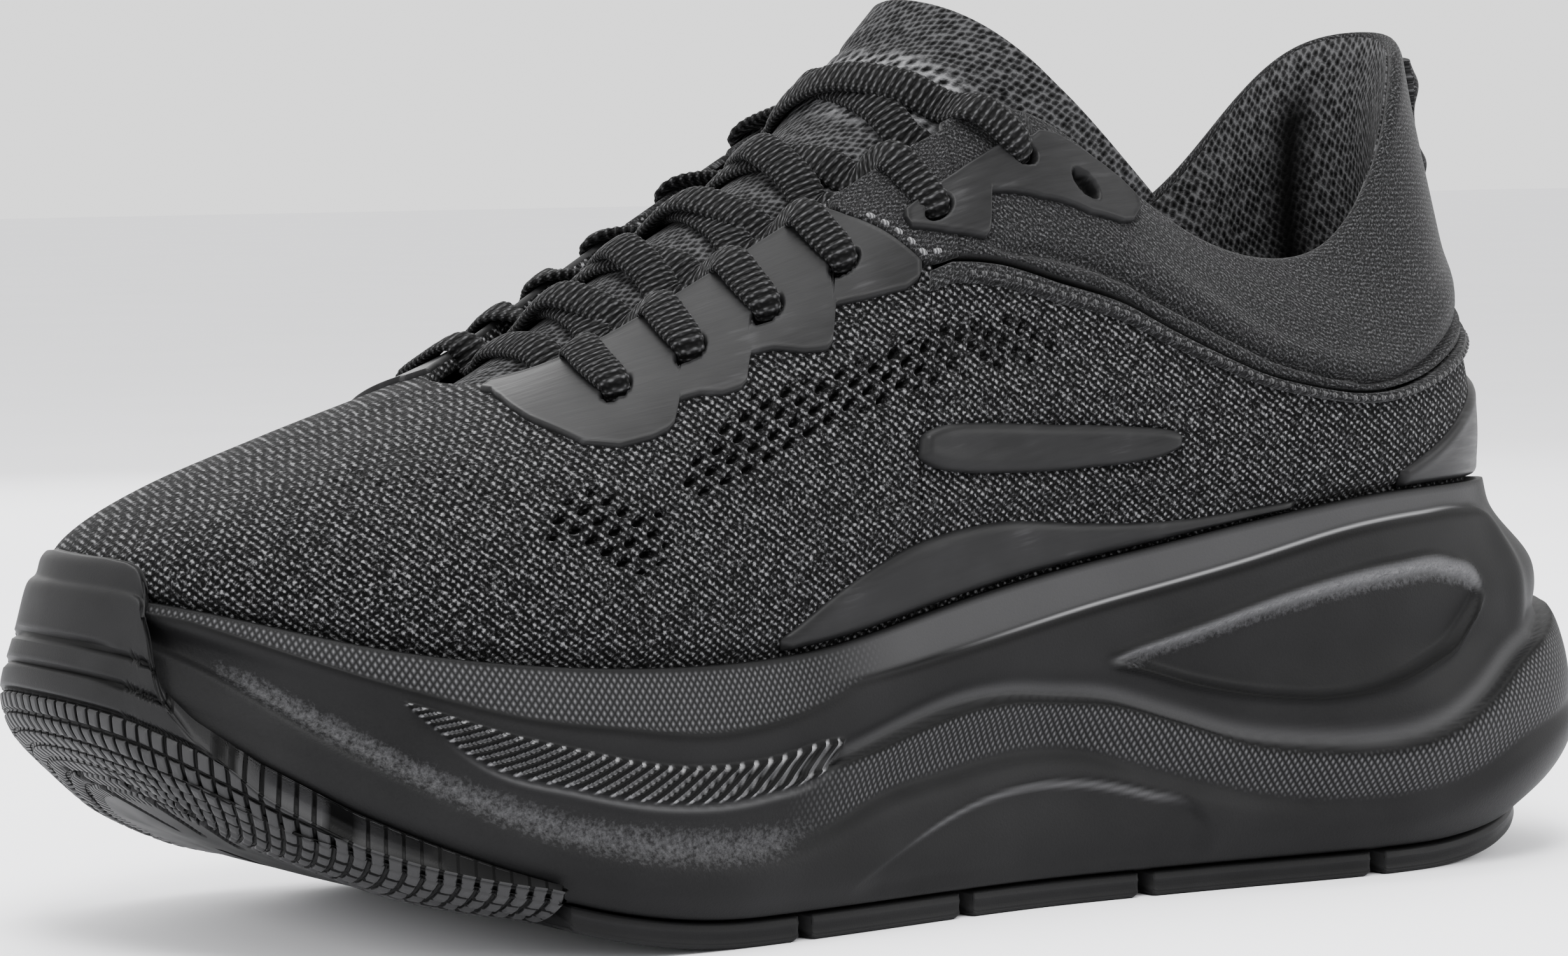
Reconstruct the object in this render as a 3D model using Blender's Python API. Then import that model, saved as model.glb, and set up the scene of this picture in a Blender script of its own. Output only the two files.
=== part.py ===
"""A left road running shoe with a high, rockered foam sole, built as its separate pieces.

Frame: +Z up, toe towards -X, heel towards +X, the outer (lateral) side towards -Y.
Lengths are written in millimetres and become metres when a mesh is made.
"""

import bpy
import bmesh
import numpy as np

MM = 0.001

# ---- driving dimensions (mm)
RUBBER = 4.2            # thickness of the outsole pods
FOAM_BOTTOM = 4.5       # height of the foam's underside above the ground
GAP = 0.3               # clearance between touching pieces
KNIT = 2.2              # thickness of the upper knit
FILM = 0.8              # thickness of the fused overlay films
PANEL = 1.2             # thickness of the collar's outer fabric
LINING = 0.8
STACK_HEEL, STACK_FORE, STACK_TOE = 29.0, 22.0, 9.0   # foam under the foot
LACE_W, LACE_T = 5.0, 1.8                             # flat oval lace
EYELET_R = 2.5
TONGUE_FACE, TONGUE_FOAM, TONGUE_LINING = 1.0, 3.0, 0.8
AROUND = 44             # points round the sole and the upper
ORIGIN = (2.595, -1.861, 0.0)   # middle of the shoe's plan, in the stations' own coordinates
TOE_T = 15.0            # station of the toe tip; 0 is the back of the heel

# Each station of the upper: feather-line point, opening-edge point, and the two handles
# of the curve that rises from the first and drops into the second. The order runs from the
# back of the heel along the outer side to the toe, and back along the inner side.
STATIONS = (
    ((131, 0, 65), (121.5, 0, 143), (0, 0, 24), (1, 0, -26)),
    ((126.5, -17, 66), (114.5, -15.5, 139), (1, -2, 22), (1, -3, -26)),
    ((115, -31, 66.5), (104, -25.5, 126), (1, -6, 20), (0, -6, -22)),
    ((99, -39, 66.5), (91, -31.5, 111.5), (0, -8, 17), (0, -7, -17)),
    ((82, -42, 65.5), (77, -34.5, 105.5), (0, -9, 15), (0, -8, -13)),
    ((60, -42, 62.5), (60, -34.5, 108), (-2, -9, 17), (0, -9, -16)),
    ((38, -41.5, 59), (43, -32.5, 118.5), (-3, -9, 20), (0, -11, -20)),
    ((16, -42, 55.5), (25, -28.5, 131.5), (-3, -9, 24), (-2, -13, -20)),
    ((-8, -45, 51), (7, -26.5, 129.5), (-3, -9, 25), (-3, -14, -18)),
    ((-32, -49, 46.5), (-14, -24.5, 118), (-3, -8, 25), (-5, -15, -15)),
    ((-58, -52, 45.5), (-36, -22, 105.5), (-3, -6, 23), (-8, -16, -12)),
    ((-83, -51, 47), (-55, -18, 95), (-2, -5, 21), (-12, -18, -9)),
    ((-107, -44.5, 50.5), (-67, -11, 89.8), (-3, -4, 18), (-24, -17, -9)),
    ((-124.5, -31, 55), (-71.5, -5, 89), (-3, -3, 13), (-37, -12, -12)),
    ((-134.5, -15, 57.5), (-73, -1.5, 89), (-3, -1, 10), (-43, -5, -15)),
    ((-138, 4, 58), (-73.5, 2, 89.2), (-3, 0, 9), (-44, 2, -15)),
    ((-134, 22, 57.5), (-73, 5.5, 89.3), (-3, 2, 10), (-42, 9, -14)),
    ((-121, 35.5, 54.5), (-71, 9.5, 89.6), (-3, 3, 13), (-34, 14, -11)),
    ((-100, 45, 50), (-66, 14.5, 91), (-3, 4, 19), (-20, 17, -9)),
    ((-74, 47.5, 46.5), (-54, 20, 96), (-2, 5, 22), (-10, 17, -10)),
    ((-46, 45, 46), (-36, 23.5, 106), (-2, 5, 24), (-6, 15, -13)),
    ((-18, 40, 49), (-14, 25.5, 118.5), (-2, 6, 25), (-4, 13, -17)),
    ((8, 36.5, 53.5), (7, 27, 130), (-2, 6, 25), (-2, 12, -19)),
    ((34, 35, 58.5), (25, 29, 132), (-2, 7, 23), (0, 11, -20)),
    ((60, 36.5, 62.5), (46, 33, 118.5), (-1, 7, 18), (0, 8, -18)),
    ((83, 38, 65.5), (67, 35.5, 109), (0, 8, 15), (0, 8, -13)),
    ((104, 36.5, 66.5), (89, 32.5, 113.5), (0, 8, 17), (0, 7, -16)),
    ((117, 29, 66.5), (104, 25.5, 130), (1, 6, 20), (0, 6, -22)),
    ((127.5, 15.5, 66), (115, 15, 141.5), (1, 2, 22), (1, 3, -26)),
)
COUNT = len(STATIONS)

# How far the foam stands out from the feather line at four heights (upper bulge, waist,
# lower bulge, foot), by station.
FLARE = (
    (0, 13, 14, 20, 9), (1, 12, 13, 20, 9), (2, 10, 11, 18, 8), (3, 8, 8, 14, 6),
    (5, 6, 5.5, 8, 4), (7, 5, 4.5, 6, 3.5), (9, 5, 5, 7, 4), (11, 5, 6, 8, 4),
    (13, 3, 4, 6, 3), (15, 2.2, 3.2, 5, 0), (17, 3, 4, 6, 3), (19, 5, 6, 8, 4),
    (21, 5, 5, 7, 4), (23, 5, 4.5, 6, 3.5), (25, 6, 5.5, 8, 4), (27, 9, 10, 15, 6),
)
WALL_LEVELS = np.array([0, 0.07, 0.27, 0.42, 0.70, 0.90, 1.0])

# Height up the upper (0 feather line, 1 opening edge) of the seam under the collar panel.
COLLAR_SEAM = (
    (0, 0.44), (1, 0.42), (2.1, 0.41), (3.1, 0.41), (4, 0.44), (4.7, 0.52), (5.4, 0.61),
    (6.2, 0.64), (7, 0.62), (7.6, 0.66), (8.0, 0.76),
)
# Thickness of the collar's padding by station.
PADDING = ((0, 5.5), (1, 6.5), (2, 7), (3, 6.5), (4, 5), (5, 2.5), (6, 1.5), (8.3, 1.5))

# Lower edge of the eyestay film by station: a stepped line, one tooth for each eyelet.
EYESTAY_EDGE = (
    (8.22, 0.68), (8.30, 0.65), (8.95, 0.70), (9.04, 0.70), (9.13, 0.62), (9.68, 0.69),
    (9.77, 0.67), (10.10, 0.62), (10.30, 0.54), (10.83, 0.60), (11.30, 0.71), (12.30, 0.93),
)
# Station and height of each laced eyelet on the outer side, from the toe back.
EYELETS = ((10.83, 0.78), (10.19, 0.78), (9.60, 0.79), (9.00, 0.79), (8.40, 0.82), (7.40, 0.865))
SPARE_EYELET = (6.70, 0.86)

# A point on the line across the shoe about which the tongue bends where it is sewn on.
TONGUE_HINGE = (-78.0, 2.0, 80.0)
# Tongue: for each row from the stitched root to the top edge, the points
# outer edge, outer shoulder, centre, inner shoulder, inner edge.
TONGUE_ROWS = (
    ((-77, -14, 78), (-79, -7, 81.6), (-80, 2, 83.0), (-79, 11, 81.8), (-77, 18, 78.5)),
    ((-64, -20, 79.5), (-65.5, -9.5, 86.0), (-66, 2, 88.8), (-65.5, 13.5, 85.6), (-64, 24, 79)),
    ((-47, -26, 84), (-49, -13, 94.2), (-50, 1, 98.4), (-49, 15.5, 94.0), (-47, 28, 83.5)),
    ((-28, -29, 93), (-30.5, -15.5, 105.3), (-32, 0, 110), (-30.5, 17, 105.5), (-28, 28.5, 93.5)),
    ((-8, -30, 101), (-11.5, -17.5, 115.3), (-14, -1, 120.8), (-11.5, 17, 115.5), (-8, 28, 101.5)),
    ((14, -30, 107), (4, -19.5, 126), (0, -2, 131.5), (2.5, 18, 127), (14, 28.5, 107.5)),
    ((33, -29.2, 111), (16, -21, 135), (10, -3.5, 141.5), (11, 16.5, 136), (33, 29, 111.5)),
    ((50, -28.6, 117.5), (27, -22.5, 142), (17, -5, 151), (21, 14, 145.5), (50, 28, 117.5)),
)


# ---- curves
def periodic_spline(values):
    """A closed cubic through the rows of values, one row per station."""
    y = np.asarray(values, float)
    n = len(y)
    matrix = 4 * np.eye(n) + np.roll(np.eye(n), 1, 0) + np.roll(np.eye(n), -1, 0)
    slope = np.linalg.solve(matrix, 3 * (np.roll(y, -1, 0) - np.roll(y, 1, 0)))

    def at(t):
        t = np.mod(np.asarray(t, float), n)
        i = np.minimum(t.astype(int), n - 1)
        u = (t - i)[..., None]
        j = (i + 1) % n
        return ((2 * u**3 - 3 * u**2 + 1) * y[i] + (u**3 - 2 * u**2 + u) * slope[i]
                + (3 * u**2 - 2 * u**3) * y[j] + (u**3 - u**2) * slope[j])

    return at


def open_spline(values):
    """A natural cubic through the rows of values, at 0, 1, 2, ..."""
    y = np.asarray(values, float)
    n = len(y)
    matrix = 4 * np.eye(n) + np.eye(n, k=1) + np.eye(n, k=-1)
    matrix[0, 0] = matrix[-1, -1] = 2
    right = np.zeros_like(y)
    right[1:-1] = 3 * (y[2:] - y[:-2])
    right[0], right[-1] = 3 * (y[1] - y[0]), 3 * (y[-1] - y[-2])
    slope = np.linalg.solve(matrix, right)

    def at(t):
        t = np.clip(np.asarray(t, float), 0, n - 1)
        i = np.minimum(t.astype(int), n - 2)
        u = (t - i)[..., None]
        return ((2 * u**3 - 3 * u**2 + 1) * y[i] + (u**3 - 2 * u**2 + u) * slope[i]
                + (3 * u**2 - 2 * u**3) * y[i + 1] + (u**3 - u**2) * slope[i + 1])

    return at


def table(rows, t):
    """Straight-line lookup of the second column by the first."""
    return np.interp(t, [r[0] for r in rows], [r[1] for r in rows])


def unit(v):
    return v / np.maximum(np.linalg.norm(v, axis=-1, keepdims=True), 1e-9)


def from_heel(t):
    """Station distance from the back of the heel, on the outer side's scale."""
    t = np.mod(np.asarray(t, float), COUNT)
    return np.where(t <= TOE_T, t, (COUNT - t) * TOE_T / (COUNT - TOE_T))


upper_controls = periodic_spline([np.ravel(s) for s in STATIONS])
flare = periodic_spline([
    [np.interp(i, [f[0] for f in FLARE] + [COUNT], [f[k] for f in FLARE] + [FLARE[0][k]])
     for k in (1, 2, 3, 4)] for i in range(COUNT)])


def upper(t, v):
    """The outside of the upper: v is 0 on the feather line and 1 on the opening edge."""
    c = upper_controls(t)
    v = np.asarray(v, float)[..., None]
    a, b, rise, fall = c[..., 0:3], c[..., 3:6], c[..., 6:9], c[..., 9:12]
    w = 1 - v
    return w**3 * a + 3 * w**2 * v * (a + rise) + 3 * w * v**2 * (b + fall) + v**3 * b


def upper_normal(t, v):
    t, v = np.broadcast_arrays(np.asarray(t, float), np.asarray(v, float))
    low, high = np.maximum(v - 0.02, 0), np.minimum(v + 0.02, 1)
    along = upper(t + 0.02, v) - upper(t - 0.02, v)
    up = upper(t, high) - upper(t, low)
    return unit(np.cross(along, up)) * -1


def off_upper(t, v, lift):
    """A point of the upper moved outwards by lift."""
    return upper(t, v) + upper_normal(t, v) * np.asarray(lift, float)[..., None]


def outward(t):
    """The level direction that leaves the sole at a station."""
    t = np.asarray(t, float)
    d = (upper_controls(t + 0.01) - upper_controls(t - 0.01))[..., :2]
    n = np.stack([d[..., 1], -d[..., 0]], -1)
    return unit(n) * -1


def foam_bottom(x):
    """Height of the foam's underside: flat in the middle, rising at the toe and the heel."""
    return FOAM_BOTTOM + 0.0042 * np.maximum(0, -45 - x)**2 + 0.0045 * np.maximum(0, x - 95)**2


def foot_bed(x):
    """Height of the foam under the foot."""
    stack = np.interp(x, [-140, -118, -80, -45, 60], [STACK_TOE, 11.5, 19, STACK_FORE, STACK_HEEL])
    return foam_bottom(np.clip(x, -140, 100)) + stack


def wall(t, h):
    """The foam's side: h is 0 at the top of the rim and 1 at the bottom edge."""
    t, h = np.broadcast_arrays(np.asarray(t, float), np.asarray(h, float))
    a, n, f = upper_controls(t)[..., 0:3], outward(t), flare(t)
    rim = np.interp(np.abs(t - TOE_T), [0, 2, 4], [1.4, 1.8, 2.6])
    offsets = np.stack([rim, rim + 0.9, f[..., 0], f[..., 1], f[..., 2],
                        0.5 * (f[..., 2] + f[..., 3]) + 1.2, f[..., 3]], -1)
    slopes = np.gradient(offsets, WALL_LEVELS, axis=-1)
    i = np.clip(np.searchsorted(WALL_LEVELS, h, side="right") - 1, 0, len(WALL_LEVELS) - 2)
    width = WALL_LEVELS[i + 1] - WALL_LEVELS[i]
    u = (h - WALL_LEVELS[i]) / width
    pick = lambda rows, k: np.take_along_axis(rows, k[..., None], -1)[..., 0]
    off = ((2 * u**3 - 3 * u**2 + 1) * pick(offsets, i) + (u**3 - 2 * u**2 + u) * width * pick(slopes, i)
           + (3 * u**2 - 2 * u**3) * pick(offsets, i + 1) + (u**3 - u**2) * width * pick(slopes, i + 1))
    low = a[..., :2] + n * f[..., 3:4]
    z = a[..., 2] - (a[..., 2] - foam_bottom(low[..., 0])) * h
    return np.concatenate([a[..., :2] + n * off[..., None], z[..., None]], -1)


def cup(t, depth, inset=0.0, lift=0.0):
    """The inside of the foam's cup: depth is 0 at the feather line and 1 on the foot bed."""
    t, depth = np.broadcast_arrays(np.asarray(t, float), np.asarray(depth, float))
    a = upper_controls(t)[..., 0:3]
    inward = 1.5 * depth + 4.5 * depth**3 + inset
    xy = a[..., :2] - outward(t) * inward[..., None]
    z = a[..., 2] + depth * (foot_bed(xy[..., 0]) + lift - a[..., 2])
    return np.concatenate([xy, z[..., None]], -1)


# ---- meshes
def material(name, colour, roughness, metallic=0.0):
    made = bpy.data.materials.get(name) or bpy.data.materials.new(name)
    made.use_nodes = True
    shader = made.node_tree.nodes["Principled BSDF"]
    shader.inputs["Base Color"].default_value = (*colour, 1)
    shader.inputs["Roughness"].default_value = roughness
    shader.inputs["Metallic"].default_value = metallic
    return made


def add_object(name, points, faces, look, smooth=True, pivot=ORIGIN):
    """A mesh object from points in the stations' coordinates, with its own origin at the pivot."""
    mesh = bpy.data.meshes.new(name)
    mesh.from_pydata([tuple(p) for p in (np.asarray(points, float) - pivot) * MM], [], faces)
    work = bmesh.new()
    work.from_mesh(mesh)
    bmesh.ops.recalc_face_normals(work, faces=work.faces)
    bmesh.ops.triangulate(work, faces=[f for f in work.faces if len(f.verts) > 4])
    work.to_mesh(mesh)
    work.free()
    made = bpy.data.objects.new(name, mesh)
    made.location = (np.asarray(pivot) - ORIGIN) * MM
    bpy.context.scene.collection.objects.link(made)
    mesh.materials.append(material(name + "_material", *look))
    for face in mesh.polygons:
        face.use_smooth = smooth
    return made


def loft(name, sections, look, closed=False, smooth=True, pivot=ORIGIN):
    """A skin through equal closed sections, capped at the two ends unless it closes on itself."""
    sections = np.asarray(sections, float)
    rows, size = sections.shape[:2]
    faces = []
    for i in range(rows if closed else rows - 1):
        for j in range(size):
            k = (j + 1) % size
            n = (i + 1) % rows
            faces.append((i * size + j, i * size + k, n * size + k, n * size + j))
    if not closed:
        faces.append(tuple(range(size)))
        faces.append(tuple(range((rows - 1) * size, rows * size)))
    return add_object(name, sections.reshape(-1, 3), faces, look, smooth, pivot)


def around(count=AROUND):
    """Stations spaced so that each point on the outer side has a partner on the inner side."""
    half = count // 2
    return np.concatenate([np.linspace(0, TOE_T, half + 1)[:-1],
                           np.linspace(TOE_T, COUNT, half + 1)[:-1]])


def decked(name, rings, look, across=4, height=None):
    """Closed rings joined in order, with a deck over the first and the last."""
    rings = [np.asarray(r, float) for r in rings]
    size = len(rings[0])
    points = list(np.concatenate(rings))
    faces = []
    for i in range(len(rings) - 1):
        for j in range(size):
            k = (j + 1) % size
            faces.append((i * size + j, i * size + k, (i + 1) * size + k, (i + 1) * size + j))
    for ring, start in ((0, 0), (len(rings) - 1, (len(rings) - 1) * size)):
        rows = [[start]]
        for j in range(1, size // 2):
            a, b = rings[ring][j], rings[ring][size - j]
            row = [start + j]
            for step in range(1, across):
                p = a + (b - a) * step / across
                if height:
                    p = np.array([p[0], p[1], height[0 if ring == 0 else 1](p[0])])
                points.append(p)
                row.append(len(points) - 1)
            rows.append(row + [start + size - j])
        rows.append([start + size // 2])
        for one, two in zip(rows, rows[1:]):
            if len(one) == 1:
                faces += [(one[0], two[i], two[i + 1]) for i in range(len(two) - 1)]
            elif len(two) == 1:
                faces += [(one[i], one[i + 1], two[0]) for i in range(len(one) - 1)]
            else:
                faces += [(one[i], one[i + 1], two[i + 1], two[i]) for i in range(len(one) - 1)]
    return add_object(name, points, faces, look)


def strip(name, ts, low, high, under, over, look, steps=6):
    """A sheet that lies along the upper between two heights, from lift under to lift over."""
    sections = []
    for t in ts:
        v = np.linspace(low(t), high(t), steps)
        tt = np.full(steps, t)
        outer = off_upper(tt, v, np.full(steps, over))
        inner = off_upper(tt, v, np.full(steps, under))
        sections.append(np.concatenate([outer, inner[::-1]]))
    return loft(name, sections, look)


def fixed(value):
    return lambda t: value


def other_side(t):
    """The inner side's station that mirrors one on the outer side."""
    return COUNT - t * (COUNT - TOE_T) / TOE_T


# ---- colours: (base colour, roughness)
FOAM_LOOK = ((0.035, 0.035, 0.037), 0.72)
RUBBER_LOOK = ((0.022, 0.022, 0.023), 0.6)
KNIT_LOOK = ((0.05, 0.05, 0.052), 0.9)
FILM_LOOK = ((0.03, 0.03, 0.032), 0.45)
SUEDE_LOOK = ((0.055, 0.055, 0.057), 0.95)
LACE_LOOK = ((0.03, 0.03, 0.031), 0.85)
DARK_LOOK = ((0.015, 0.015, 0.016), 0.9)
BOARD_LOOK = ((0.55, 0.54, 0.5), 0.9)


# ---- sole
def build_midsole():
    t = around()
    heights = (0.955, 0.87, 0.78, 0.70, 0.56, 0.42, 0.27, 0.07, 0.0)
    low = wall(t, np.full_like(t, 1.0))
    low[:, :2] -= outward(t) * 2.5
    low[:, 2] = foam_bottom(low[:, 0])
    rings = [low] + [wall(t, np.full_like(t, h)) for h in heights]
    rim = upper_controls(t)[:, :3].copy()
    rim[:, :2] += outward(t) * 0.4
    rings.append(rim)
    rings += [cup(t, np.full_like(t, d), -0.4) for d in (0.6, 0.9, 1.0)]
    return decked("midsole", rings, FOAM_LOOK, 4, (foam_bottom, foot_bed))


def pod_section(t, width):
    """A pod's section at one station: the sole's edge inwards by width."""
    edge = wall(t, 1.0)
    n = outward(t)
    outer_xy = edge[:2] - n * 1.0
    inner_xy = edge[:2] - n * width
    middle = (outer_xy + inner_xy) / 2
    top = [(*p, foam_bottom(p[0]) - GAP) for p in (outer_xy - n * 1.5, middle, inner_xy)]
    low = [(*p, foam_bottom(p[0]) - GAP - RUBBER) for p in (inner_xy, middle, outer_xy - n * 0.6)]
    side = (*outer_xy, foam_bottom(outer_xy[0]) - GAP - 1.6)
    return np.array(top + low + [side])


def centre_line(x):
    """Sideways position of the sole's middle."""
    return float(np.interp(x, [-112, -84, -30, 60, 130], [4.0, -1.5, -4.0, -3.0, 0.0]))


def station_at(x, outer=True):
    """The station where the sole's bottom edge passes a given x."""
    t = np.linspace(0.4, TOE_T - 0.4, 800)
    if not outer:
        t = other_side(t)
    return t[np.abs(wall(t, 1.0)[:, 0] - x).argmin()]


PODS = (   # name, from x, to x, width
    ("outsole_forefoot_pod", -81, -38.5, 27),
    ("outsole_ball_pod", -35.5, -3.5, 26),
    ("outsole_midfoot_pod", -0.5, 34.5, 22),
    ("outsole_arch_pod", 37.5, 82.5, 23),
)


def build_pods():
    for side, outer in (("lateral", True), ("medial", False)):
        for name, start, end, width in PODS:
            ts = np.linspace(station_at(start, outer), station_at(end, outer), 8)
            loft(f"{name}_{side}", [pod_section(t, width) for t in ts], RUBBER_LOOK, smooth=False)
    ends = {"lateral": (station_at(85.5), -0.28),
            "medial": (station_at(85.5, False) - COUNT, -0.36)}
    for side, (start, end) in ends.items():
        ts = np.linspace(start, end, 12)
        loft(f"outsole_heel_pod_{side}", [pod_section(t, 23) for t in ts], RUBBER_LOOK, smooth=False)


def build_toe_rubber():
    """The toe's rubber: under the foam, and up its front as a guard over the upper's toe."""
    lateral, medial = station_at(-84), station_at(-84, False)
    ts = np.concatenate([np.linspace(lateral, 13.4, 5), np.linspace(13.5, 13.86, 4),
                         np.linspace(14.15, 15.85, 6), np.linspace(16.14, 16.5, 4),
                         np.linspace(16.6, medial, 5)])
    sections = []
    for t in ts:
        near = abs(t - TOE_T)
        up = np.interp(near, [0, 1.15, 1.5], [1, 1, 0])
        n = outward(t)
        foot = wall(t, 1.0)
        centre = np.array((max(foot[0], -112.0), centre_line(foot[0])))
        lie = [centre + (foot[:2] - centre) * share for share in (0.04, 0.35, 0.65, 0.9)]
        inner = [np.array((*p, foam_bottom(p[0]) - GAP - 0.4)) for p in lie]
        outer = [np.array((*p, foam_bottom(p[0]) - GAP - RUBBER)) for p in lie]
        top = 0.93 * (1 - up)
        for h in 0.97 + (top - 0.97) * np.array((0, 0.11, 0.29, 0.59, 1.0)):
            p = wall(t, h)
            low = np.interp(h, [0.85, 1], [0, 1])
            inner.append(p + np.array((*(n * (GAP + 0.8)), -0.5 * low)))
            proud = np.interp(near, [1.5, 2.6], [3.4, 2.3])
            outer.append(p + np.array((*(n * np.interp(h, [0.8, 0.97], [2.8, proud])), -2.6 * low)))
        for v, lift in ((0.05, 1.5), (0.10, 0.7), (0.14, 0.4)):
            stay, base = outer[-1], inner[-1]
            p = off_upper(t, v, lift) if up > 0.5 else base + (0, 0, v * 4)
            q = off_upper(t, v, 2.6 - 5 * v) if up > 0.5 else stay + (0, 0, v * 4)
            inner.append(up * p + (1 - up) * (base + (0, 0, v * 4)))
            outer.append(up * q + (1 - up) * (stay + (0, 0, v * 4)))
        sections.append(np.array(inner + outer[::-1]))
    return loft("outsole_toe", sections, RUBBER_LOOK)


# ---- inside the cup
def build_boards():
    t = around(40)
    one = np.ones_like(t)
    rings = []
    for lift in (GAP, GAP + 1.2):
        ring = cup(t, one, KNIT + 0.5 + GAP)
        ring[:, 2] = foot_bed(ring[:, 0]) + lift
        rings.append(ring)
    decked("strobel_board", rings, BOARD_LOOK, 4,
           (lambda x: foot_bed(x) + GAP, lambda x: foot_bed(x) + GAP + 1.2))
    base = 2 * GAP + 1.2
    lift = np.interp(from_heel(t), [0, 3, 6, 15], [13, 11, 5, 3.6])
    rings = []
    for inset, height in ((5.5, 0.0), (4.8, 0.6), (4.8, None), (6.6, None), (11.5, 4.0)):
        ring = cup(t, one, inset + 1.2)
        ring[:, 2] = foot_bed(ring[:, 0]) + base + (lift if height is None else height)
        rings.append(ring)
    decked("sockliner", rings, DARK_LOOK, 4,
           (lambda x: foot_bed(x) + base, lambda x: foot_bed(x) + base + 4.0))


# ---- upper
def knit_top(t):
    s = from_heel(t)
    return float(np.where(s >= 8.18, 1.0, table(COLLAR_SEAM, np.minimum(s, 8.0)) - 0.004))


def build_knit():
    t = np.unique(np.concatenate([around(44), [8.05, 8.2, other_side(8.05), other_side(8.2)]]))
    sections = []
    for s in t:
        depths = (0.96, 0.6)
        tt = np.full(2, s)
        v = np.linspace(0.0, knit_top(s), 6)
        rows = np.full(6, s)
        low_out = cup(tt, depths, 0.0, GAP)
        low_in = cup(tt, depths, KNIT, GAP)
        outer = off_upper(rows, v, np.zeros(6))
        inner = off_upper(rows, v, np.full(6, -KNIT))
        inner[0, 2] = outer[0, 2]
        sections.append(np.concatenate([low_out, outer, inner[::-1], low_in[::-1]]))
    return loft("upper_knit", sections, KNIT_LOOK, closed=True)


def build_stiffeners():
    for name, span, top in (("heel_counter", 3.3, 0.36), ("toe_puff", 2.6, 0.30)):
        centre, room = (0.0, GAP + 0.05) if name == "heel_counter" else (TOE_T, 1.1)
        sections = []
        for t in centre + np.linspace(-span, span, 11):
            tt, d = np.full(1, t), (0.6,)
            drop = 1 - 0.6 * (abs(t - centre) / span)**4
            v = np.linspace(0, top * drop, 3)
            rows = np.full(3, t)
            faces = []
            for lift in (KNIT + room, KNIT + room + 1.1):
                up = off_upper(rows, v, np.full(3, -lift))
                up[0, 2] = upper_controls(t)[2]
                faces.append(np.concatenate([cup(tt, d, lift, GAP), up]))
            sections.append(np.concatenate([faces[0], faces[1][::-1]]))
        loft(name, sections, DARK_LOOK)


def collar_stations(count, end=7.98):
    """Stations round the heel, from the inner side's collar front to the outer side's."""
    half = np.linspace(0, end, count)
    return np.concatenate([(other_side(half[::-1]) - COUNT)[:-1], half])


def seam_height(t):
    return float(table(COLLAR_SEAM, from_heel(t)))


def padding(t, v):
    """Depth of the foam behind the collar's outer fabric."""
    thick = table(PADDING, from_heel(t))
    seam = seam_height(t)
    s = np.clip((v - seam) / (1 - seam), 0, 1)
    return 1.2 + (thick - 1.2) * np.sin(np.pi * np.clip(0.16 + 0.9 * s, 0, 1))**0.6


def rolled(t, points):
    """Section points given as (height, depth, rise): the rise continues past the opening edge."""
    out = []
    for v, depth, rise in points:
        step = unit(upper(t, 1.0) - upper(t, 0.97))
        out.append(off_upper(t, min(v, 1.0), -depth) + step * rise)
    return out


def build_collar():
    ts = collar_stations(14)
    panel, foam, lining = [], [], []
    for t in ts:
        seam = seam_height(t)
        v = np.linspace(seam + 0.012, 0.985, 5)
        rows = np.full(5, t)
        swell = 0.6 * np.sin(np.linspace(0.1, 0.95, 5) * np.pi)
        panel.append(np.concatenate([off_upper(rows, v, swell), off_upper(rows, v, swell - PANEL)[::-1]]))
        front = PANEL - swell + 2 * GAP
        depth = np.array([front[i] + padding(t, v[i]) for i in range(5)])
        deep, crest = depth[-1], 0.35 * (depth[-1] - front[-1])
        foam.append(np.concatenate([
            off_upper(rows, v, -front),
            rolled(t, [(1, front[-1] + crest, crest), (1, deep - crest, crest)]),
            off_upper(rows, v, -depth)[::-1]]))
        down = np.array([0.12, seam - 0.02])
        behind = np.full(2, KNIT + 2 * GAP + 1.1 + 0.2)
        behind[1] = max(behind[1], depth[0] + 2 * GAP)
        out_v, out_d = np.concatenate([down, v]), np.concatenate([behind, depth + 2 * GAP])
        rr = np.full(7, t)
        lining.append(np.concatenate([
            off_upper(rr, out_v, -out_d),
            rolled(t, [(1, deep - crest, crest + 2 * GAP), (1, front[-1] + crest, crest + 2 * GAP)]),
            rolled(t, [(0.985, front[-1] - 1.0, 1.2), (1, front[-1] - 0.6, crest + 1.5)]),
            rolled(t, [(1, deep - crest + 0.4, crest + 2 * GAP + LINING)]),
            off_upper(rr, out_v, -out_d - LINING)[::-1]]))
    loft("collar_panel", panel, SUEDE_LOOK)
    loft("collar_foam", foam, DARK_LOOK)
    loft("collar_lining", lining, DARK_LOOK)


def film_edge(t):
    return float(table(EYESTAY_EDGE, from_heel(t)))


def both_sides(name, ts, low, high, under, over, look, steps=4):
    strip(name + "_lateral", ts, low, high, under, over, look, steps)
    inner = [other_side(t) for t in ts[::-1]]
    strip(name + "_medial", inner, low, high, under, over, look, steps)


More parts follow.
